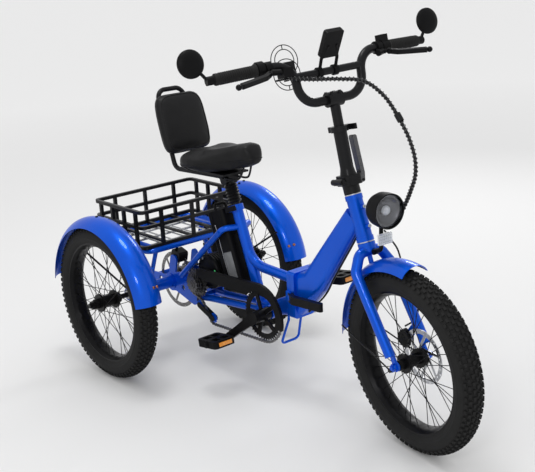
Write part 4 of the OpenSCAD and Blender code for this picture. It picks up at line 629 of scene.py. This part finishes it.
for node in ("drive_motor", "rear_caliper", "derailleur", "crankset"):
    skin(node, anodised)
for node in ("battery_dock", "chain_guard"):
    skin(node, moulded)
for node in ("guide_pulley", "tension_pulley"):
    skin(node, enamel)
ash, flow = finish("ash_panel", (0.16, 0.165, 0.17), 0.4, Specular_IOR_Level=0.4)
haze = mottle(flow, 60, 3)
feed(
    ash,
    Base_Color=shades(flow, haze, (0.12, 0.125, 0.13), (0.22, 0.225, 0.23)),
    Roughness=haze * 0.2 + 0.3,
)
skin("battery_pack", moulded)
SEAT_DIR, SEAT_FOOT, DOCK_UP = Vector((-0.318959, 0, 0.947768)), Vector((444, 0, 274)), 70
SEAT_FRONT = Vector((SEAT_DIR.z, 0, -SEAT_DIR.x))
ALONG_SEAT = Matrix((SEAT_FRONT, Vector((0, 1, 0)), SEAT_DIR)).transposed()
for name, size, middle, shade in (
    ("battery_panel", (43.6, 1.6, 107.6), (-64, -37.5, 68), ash),
    ("battery_strip", (2.2, 1.4, 196), (-89.5, -37.8, 120), steel),
):
    at = on_frame(SEAT_FOOT + SEAT_DIR * DOCK_UP + ALONG_SEAT @ Vector(middle))
    place_at = Matrix.Translation(at) @ ALONG_SEAT.to_4x4()
    block(name, size, place_at, "battery", shade, 0.6)
green, flow = finish("green_lamp", (0.05, 0.55, 0.16), 0.25)
glow = mottle(flow, 300, 1)
feed(green, Base_Color=shades(flow, glow, (0.02, 0.42, 0.10), (0.10, 0.75, 0.25)))
MOTOR_FACE, MOTOR_OUT = Vector((212, -40, 345)), (0, -1, 0)
MOTOR_LAMP = [(0, -1), (4, -1), (4, 0.6), (2.6, 2.0), (0, 2.4)]
lamp_at = on_frame(MOTOR_FACE + Vector((38, 0, 11)))
turned("motor_lamp", MOTOR_LAMP, lamp_at, MOTOR_OUT, "rear_frame", green, 20)
for number, (x, z) in enumerate(((50, 0), (-25, 43), (-25, -43))):
    at = on_frame(MOTOR_FACE + Vector((x, 0, z)))
    bolt(f"motor_bolt_{number}", at, MOTOR_OUT, "rear_frame", steel, 0.7)


# Pedals. Moulded black platforms that turn on the ends of the cranks, with an amber prism reflector
# let into the front and the rear edge of each.
amber, flow = finish("amber_reflector", (0.85, 0.28, 0.03), 0.2, Coat_Weight=0.5, Coat_Roughness=0.05)
prism = cells(flow, 420)
feed(
    amber,
    Base_Color=shades(flow, prism, (0.62, 0.15, 0.01), (0.95, 0.42, 0.06)),
    Normal=raised(flow, prism, 0.3, 0.0006),
)
PEDAL_LEAN, PEDAL_LONG = Matrix.Rotation(math.radians(-8), 3, "Y"), 98
PEDAL_REFLECTOR = (5.4, 50.4, 12.4)
for node, x, z in (("right_pedal", 379.1, 175.3), ("left_pedal", 650.9, 372.7)):
    skin(node, moulded, round_by=1.2)
    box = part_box(node)
    y = (box[0][1] + box[1][1]) * 500
    for end, reach in (("rear", -PEDAL_LONG / 2), ("front", PEDAL_LONG / 2)):
        at = on_frame(Vector((x, y, z)) + PEDAL_LEAN @ Vector((reach, 0, 0)))
        place_at = Matrix.Translation(at) @ PEDAL_LEAN.to_4x4()
        block(f"{node}_reflector_{end}", PEDAL_REFLECTOR, place_at, node, amber, 0.8)


# Head tube and lamp. Two bright bolts sit in the head tube's bosses. The lamp is a round black case
# with a chromed bowl, a capped diode and a domed clear lens; a clear ribbed reflector hangs below.
HEAD_FOOT, BOSS_DIR = Vector((916, 0, 576)), Vector((HEAD_DIR.z, 0, -HEAD_DIR.x))
BOSS_HEIGHTS, BOSS_REACH = (40, 96), 31
for number, height in enumerate(BOSS_HEIGHTS):
    at = HEAD_FOOT + HEAD_DIR * height + BOSS_DIR * BOSS_REACH
    bolt(f"head_bolt_{number}", on_frame(at), BOSS_DIR, "front_frame", steel, 1.1)
skin("headlight", moulded)
for node in ("front_caliper", "frame_latch"):
    skin(node, anodised)
chrome, flow = finish("lamp_chrome", (0.5, 0.5, 0.52), 0.12, Metallic=1.0)
haze = mottle(flow, 90, 3)
feed(
    chrome,
    Base_Color=shades(flow, haze, (0.05, 0.05, 0.055), (0.12, 0.12, 0.13)),
    Roughness=haze * 0.15 + 0.08,
)
diode, flow = finish("diode_cap", (0.85, 0.86, 0.88), 0.12, Coat_Weight=1.0, Coat_Roughness=0.03)
haze = mottle(flow, 200, 2)
feed(diode, Base_Color=shades(flow, haze, (0.70, 0.71, 0.74), (0.95, 0.95, 0.96)))
clear, flow = finish("clear_lens", (0.95, 0.97, 1.0), 0.03, Transmission_Weight=1.0, IOR=1.45)
haze = mottle(flow, 120, 3)
feed(clear, Roughness=haze * 0.05 + 0.01)
LAMP_BASE = on_fork((1015, 0, 687))
FORWARDS = STEER @ Vector((1, 0, 0))
BOWL = [
    (0, 1.2), (11, 1.4), (22, 3.2), (31, 6.5), (36, 10.5), (37.5, 13.0), (45.4, 13.4), (45.4, 12.6),
    (37.7, 12.4), (37.7, 0.4), (0, 0.4),
]
DIODE = [(0, 13), (6, 12.2), (11, 9.6), (13.4, 5.5), (13.8, 1.8), (0, 1.8)]
LENS = [
    (0, 20.4), (16, 19.8), (30, 18.2), (40, 16.2), (45.3, 14.8), (45.3, 13.8), (39.5, 14.9),
    (29.5, 16.9), (15.8, 18.4), (0, 19.0),
]
turned("lamp_bowl", BOWL, LAMP_BASE, FORWARDS, "fork", chrome, 48)
turned("lamp_diode", DIODE, LAMP_BASE, FORWARDS, "fork", diode, 32)
lens = turned("lamp_lens", LENS, LAMP_BASE, FORWARDS, "fork", clear, 48)
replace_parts(lens, "lamp_optics")
REFLECTOR_BACK = Matrix.Translation(on_fork((1004, 0, 604))) @ STEER.to_4x4()
block("reflector_back", (4, 46, 31), REFLECTOR_BACK, "fork", diode, 1.2)
RIBS, RIB_STEP, RIB_R, RIB_X, RIB_HEIGHTS = 7, 6.4, 0.0031, 1009.4, (589.5, 596, 604, 612, 618.5)
for number in range(RIBS):
    y = RIB_STEP * (number - (RIBS - 1) / 2)
    rib = [on_fork((RIB_X, y, z)) for z in RIB_HEIGHTS]
    tube(f"reflector_rib_{number}", rib, RIB_R, "fork", clear, sides=10)


# Stem and handlebar. A folding stem with a satin steel latch carries a risen black bar with its
# controls, a cup holder and a display that leans towards the rider.
STEM_LEAN = Matrix.Rotation(math.radians(-10.8), 3, "Y")
STEM_ROOT = Vector((858.931, 0, 744.603))


def on_stem(point):
    """A point of the source's stem, in millimetres from its root, in the row frame."""
    return on_fork(STEM_LEAN @ Vector(point) + STEM_ROOT)


for node in ("cup_holder", "handlebar", "stem_tube", "stem_base"):
    skin(node, powder)
for node in ("collar_lever", "shift_lever"):
    skin(node, anodised, round_by=1.4)
skin("stem_latch", satin, round_by=1.2)
for node in ("bar_controls", "display", "right_mirror", "left_mirror"):
    skin(node, moulded, round_by=1.0)
glass, flow = finish("dark_glass", (0.01, 0.011, 0.012), 0.06)
smear = mottle(flow, 45, 3)
feed(glass, Roughness=smear * 0.08 + 0.03)
DISPLAY_AT, DISPLAY_LEAN = Vector((54, -12, 377)), Matrix.Rotation(math.radians(41), 3, "Y")
DISPLAY_TURN = (STEER @ STEM_LEAN @ DISPLAY_LEAN).to_4x4()
ON_DISPLAY = {  # size, place on the display's face, material and rounding
    "display_screen": ((1.2, 49, 64), (-7.0, 0, 4.5), glass, 0.4),
    "display_key_0": ((1.6, 9, 6), (-7.6, -14, -34), ash, 0.6),
    "display_key_1": ((1.6, 9, 6), (-7.6, 0, -34), ash, 0.6),
    "display_key_2": ((1.6, 9, 6), (-7.6, 14, -34), ash, 0.6),
}
for name, (size, middle, shade, rounded_by) in ON_DISPLAY.items():
    at = on_stem(DISPLAY_AT + DISPLAY_LEAN @ Vector(middle))
    place_at = Matrix.Translation(at) @ DISPLAY_TURN
    block(name, size, place_at, "handlebar", shade, rounded_by)


# Brake levers. Black alloy blades on pivots beside the grips, cut off short of the end, with a turned
# ball set on each so that fingers don't slip off.
BRAKE_PIVOT, BRAKE_LEAN = Vector((22.7, -198, 327)), Matrix.Rotation(math.radians(28.7), 3, "Y")
LEVER_CUT, LEVER_END, BALL_R, BALL_STEPS = Vector((35.6, -107, 0)), Vector((37.6, -116, 0)), 8.4, 12
arc = [math.pi * k / BALL_STEPS for k in range(1, BALL_STEPS)]
BALL = [(0, -BALL_R), *((BALL_R * math.sin(a), -BALL_R * math.cos(a)) for a in arc), (0, BALL_R)]
for node, side in (("right_brake_lever", 1), ("left_brake_lever", -1)):
    lever = skin(node, anodised, round_by=1.4)
    cut, end = (BRAKE_PIVOT + BRAKE_LEAN @ spot for spot in (LEVER_CUT, LEVER_END))
    cut.y, end.y = cut.y * side, end.y * side
    form = bmesh.new()
    form.from_mesh(lever.data)
    trimmed = bmesh.ops.bisect_plane(
        form, geom=form.verts[:] + form.edges[:] + form.faces[:], plane_co=on_stem(cut),
        plane_no=on_stem(end) - on_stem(cut), clear_outer=True,
    )
    rim = [e for e in trimmed["geom_cut"] if isinstance(e, bmesh.types.BMEdge)]
    bmesh.ops.holes_fill(form, edges=rim)
    form.to_mesh(lever.data)
    form.free()
    along = on_stem(end) - on_stem(cut)
    turned(node + "_ball", BALL, on_stem(end), along, node, anodised, 24)


# Grips and mirrors. Soft rubber grips with fine rings are pushed over the bar's ends, and round mirrors
# in black cases stand on arms that plug into them.
BAR_TIP, BAR_OUT, GRIP_LONG = (-27, -340, 341), (-0.108987, -0.993957, -0.0130784), 124
GRIP = [(11.3, 0), (19.3, 0), (19.5, 1), (19.5, 4), (18.6, 5.4), (16.6, 8)]
for ring_at in range(14, 106, 6):
    GRIP += [
        (16.3, ring_at), (16.6, ring_at + 1), (16.6, ring_at + 3),
        (15.4, ring_at + 3.6), (15.4, ring_at + 5.2),
    ]
GRIP += [(16.2, 112), (16.4, 118), (15.6, 121), (14.4, 122), (11.3, 122)]
mirror_glass, flow = finish("mirror_glass", (0.8, 0.82, 0.84), 0.02, Metallic=1.0)
smear = mottle(flow, 40, 3)
feed(mirror_glass, Roughness=smear * 0.04 + 0.005)
MIRROR_HEAD, GLASS_BACK = (-28, -393, 392), Vector((4.4, 0, 0))
MIRROR_GLASS = [(0, 0), (34.6, 0), (34.6, 1.0), (33.6, 1.5), (0, 1.6)]
rearwards = STEER @ STEM_LEAN @ Vector((-1, 0, 0))
for node, side, mirror in (("throttle_grip", 1, "right_mirror"), ("left_grip", -1, "left_mirror")):
    tip, out, head = (Vector((x, y * side, z)) for x, y, z in (BAR_TIP, BAR_OUT, MIRROR_HEAD))
    along, root = STEER @ STEM_LEAN @ out, on_stem(tip - out * GRIP_LONG)
    body = frame["nodes"][node]["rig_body"]
    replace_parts(turned("made_" + node, GRIP, root, along, body, rubber, 36), node)
    face = on_stem(head - GLASS_BACK)
    turned(mirror + "_glass", MIRROR_GLASS, face, rearwards, mirror, mirror_glass, 40)


# Seat. A post in a rubber boot carries a steel pan and the bent hoop of the backrest. Two wire rails
# run under the saddle, and a quick-release lever clamps the post in the seat tube.
for node in ("seat_post", "backrest_frame"):
    skin(node, powder)
skin("seat_clamp_lever", anodised)
RAIL = [
    (250, 26, 699), (262, 25, 684), (280, 24, 680), (330, 23, 680),
    (372, 21, 681), (394, 18, 694), (414, 14, 736),
]
RAIL_R = 0.0035
for name, side in (("saddle_rail_right", -1), ("saddle_rail_left", 1)):
    way = route([on_frame((x, y * side, z)) for x, y, z in RAIL], 5)
    tube(name, way, RAIL_R, "seat", powder, sides=10)


# Saddle and backrest pad. Foam on a moulded base, under a stretched cover of black leathercloth: a
# stuffed form, held where it rests, with a corded seam round its edge.
hide, flow = finish("black_leathercloth", (0.006, 0.006, 0.0065), 0.4, Specular_IOR_Level=0.2)
pebble = cells(flow, 520)
haze = mottle(flow, 18, 3)
feed(
    hide,
    Base_Color=shades(flow, haze, (0.00385, 0.00385, 0.0044), (0.00935, 0.00935, 0.0099)),
    Roughness=haze * 0.2 + 0.34,
    Normal=raised(flow, pebble, 0.22, 0.0006),
)
VOXEL, SHRINK, CAP = 0.005, 0.004, 0.007
CLOTH_FRAMES, SMOOTHINGS, FILL = 20, 4, 0.9


def stuffed(node, rests, pressure):
    """A cushion: a CAD form, remeshed and blown up as cloth, but held where a test says it rests."""
    form = bmesh.new()
    form.from_mesh(frame["nodes"][node].data)
    bmesh.ops.remove_doubles(form, verts=form.verts, dist=MERGE_WITHIN)
    form.normal_update()
    for v in form.verts:
        v.co -= v.normal * (0 if rests(v.co * 1000) else SHRINK)
    rough = bpy.data.objects.new("rough", bpy.data.meshes.new("rough"))
    form.to_mesh(rough.data)
    form.free()
    scene.collection.objects.link(rough)
    remesh = rough.modifiers.new("even", "REMESH")
    remesh.mode, remesh.voxel_size = "VOXEL", VOXEL
    graph = bpy.context.evaluated_depsgraph_get()
    mesh = bpy.data.meshes.new_from_object(rough.evaluated_get(graph))
    bpy.data.objects.remove(rough)
    mesh.name = "made_" + node
    piece = bpy.data.objects.new("made_" + node, mesh)
    scene.collection.objects.link(piece)
    held = piece.vertex_groups.new(name="held")
    held.add([v.index for v in mesh.vertices if rests(v.co * 1000)], 1, "REPLACE")
    cloth = piece.modifiers.new("stuffing", "CLOTH")
    cloth.settings.vertex_group_mass = "held"
    cloth.settings.use_pressure = True
    cloth.settings.uniform_pressure_force = pressure
    cloth.settings.effector_weights.gravity = 0
    for step in range(1, CLOTH_FRAMES + 1):
        scene.frame_set(step)
    graph = bpy.context.evaluated_depsgraph_get()
    swollen = [v.co.copy() for v in piece.evaluated_get(graph).data.vertices]
    piece.modifiers.remove(cloth)
    scene.frame_set(1)
    for v, co in zip(mesh.vertices, swollen):
        moved = co - v.co
        v.co += moved * min(1, CAP / max(moved.length, 1e-9))
    form = bmesh.new()
    form.from_mesh(mesh)
    free = [v for v in form.verts if not rests(v.co * 1000)]
    for _ in range(SMOOTHINGS):
        bmesh.ops.smooth_vert(
            form, verts=free, factor=0.5, use_axis_x=True, use_axis_y=True, use_axis_z=True
        )
    for face in form.faces:
        face.smooth = True
    form.to_mesh(mesh)
    form.free()
    mesh.materials.clear()
    mesh.materials.append(hide)
    finer = piece.modifiers.new("finer", "SUBSURF")
    finer.levels = finer.render_levels = 1
    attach(piece, "seat")
    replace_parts(piece, node)
    return piece


SEAM_PROUD = 0.2


def seam(name, piece, at, facing, thick):
    """A corded seam where a plane cuts a cushion."""
    form = bmesh.new()
    form.from_mesh(piece.data)
    cut = bmesh.ops.bisect_plane(
        form, geom=form.verts[:] + form.edges[:] + form.faces[:], plane_co=at, plane_no=facing
    )["geom_cut"]
    edges = {e for e in cut if isinstance(e, bmesh.types.BMEdge)}
    here = max((v for v in cut if isinstance(v, bmesh.types.BMVert)), key=lambda v: v.co.x)
    proud = thick * SEAM_PROUD
    loop = [here.co + here.normal * proud]
    while edge := next((e for e in here.link_edges if e in edges), None):
        edges.discard(edge)
        here = edge.other_vert(here)
        loop.append(here.co + here.normal * proud)
    form.free()
    count = len(loop) - 1
    smooth = [sum((loop[(i + k) % count] for k in range(-2, 3)), Vector()) / 5 for i in range(count)]
    return tube(name, [*smooth, smooth[0]], thick / 2, "seat", hide, sides=8)


SADDLE_BASE_Z, SADDLE_PRESSURE = 700.5, 3
saddle = stuffed("saddle", lambda p: p.z < SADDLE_BASE_Z, SADDLE_PRESSURE)
seam_facing = Vector((-0.14, 0, 1)).normalized()
seam("saddle_seam", saddle, on_frame((330, 0, 738)), seam_facing, 0.0034)
RECLINE, PAD_PRESSURE, PAD_HELD = math.radians(16), 2, 4
PAD_MID = Vector((82, 0, 838))
facing = Vector((math.cos(RECLINE), 0, math.sin(RECLINE)))
pad_middle = on_frame(PAD_MID) * 1000
pad = stuffed("backrest_pad", lambda p: (p - pad_middle).dot(facing) < PAD_HELD, PAD_PRESSURE)
seam("pad_front_seam", pad, on_frame(PAD_MID + facing * 12), facing, 0.0036)
seam("pad_back_seam", pad, on_frame(PAD_MID - facing * 14), facing, 0.0030)


# Bumper. A thin moulded guard round the lower back of the saddle, over its cover: a shell cut from the
# saddle's own form by three planes and set a little proud of it.
BUMPER_CUTS = (  # point, direction, and whether the part behind the plane goes
    ((236, 0, 712), (1, 0, 0.6), False),
    ((180, 0, 731), (0.2, 0, 1), False),
    ((180, 0, 700), (0, 0, 1), True),
)
BUMPER_PROUD, BUMPER_THICK = 0.0018, 0.0024
bumper = bmesh.new()
bumper.from_mesh(saddle.data)
for at, away, drop_inner in BUMPER_CUTS:
    bmesh.ops.bisect_plane(
        bumper, geom=bumper.verts[:] + bumper.edges[:] + bumper.faces[:], plane_co=on_frame(at),
        plane_no=away, clear_outer=not drop_inner, clear_inner=drop_inner,
    )
bumper.normal_update()
for v in bumper.verts:
    v.co += v.normal * BUMPER_PROUD
bmesh.ops.solidify(bumper, geom=bumper.faces[:], thickness=BUMPER_THICK)
bmesh.ops.recalc_face_normals(bumper, faces=bumper.faces)
settle(bumper, "saddle_bumper", "seat", moulded)
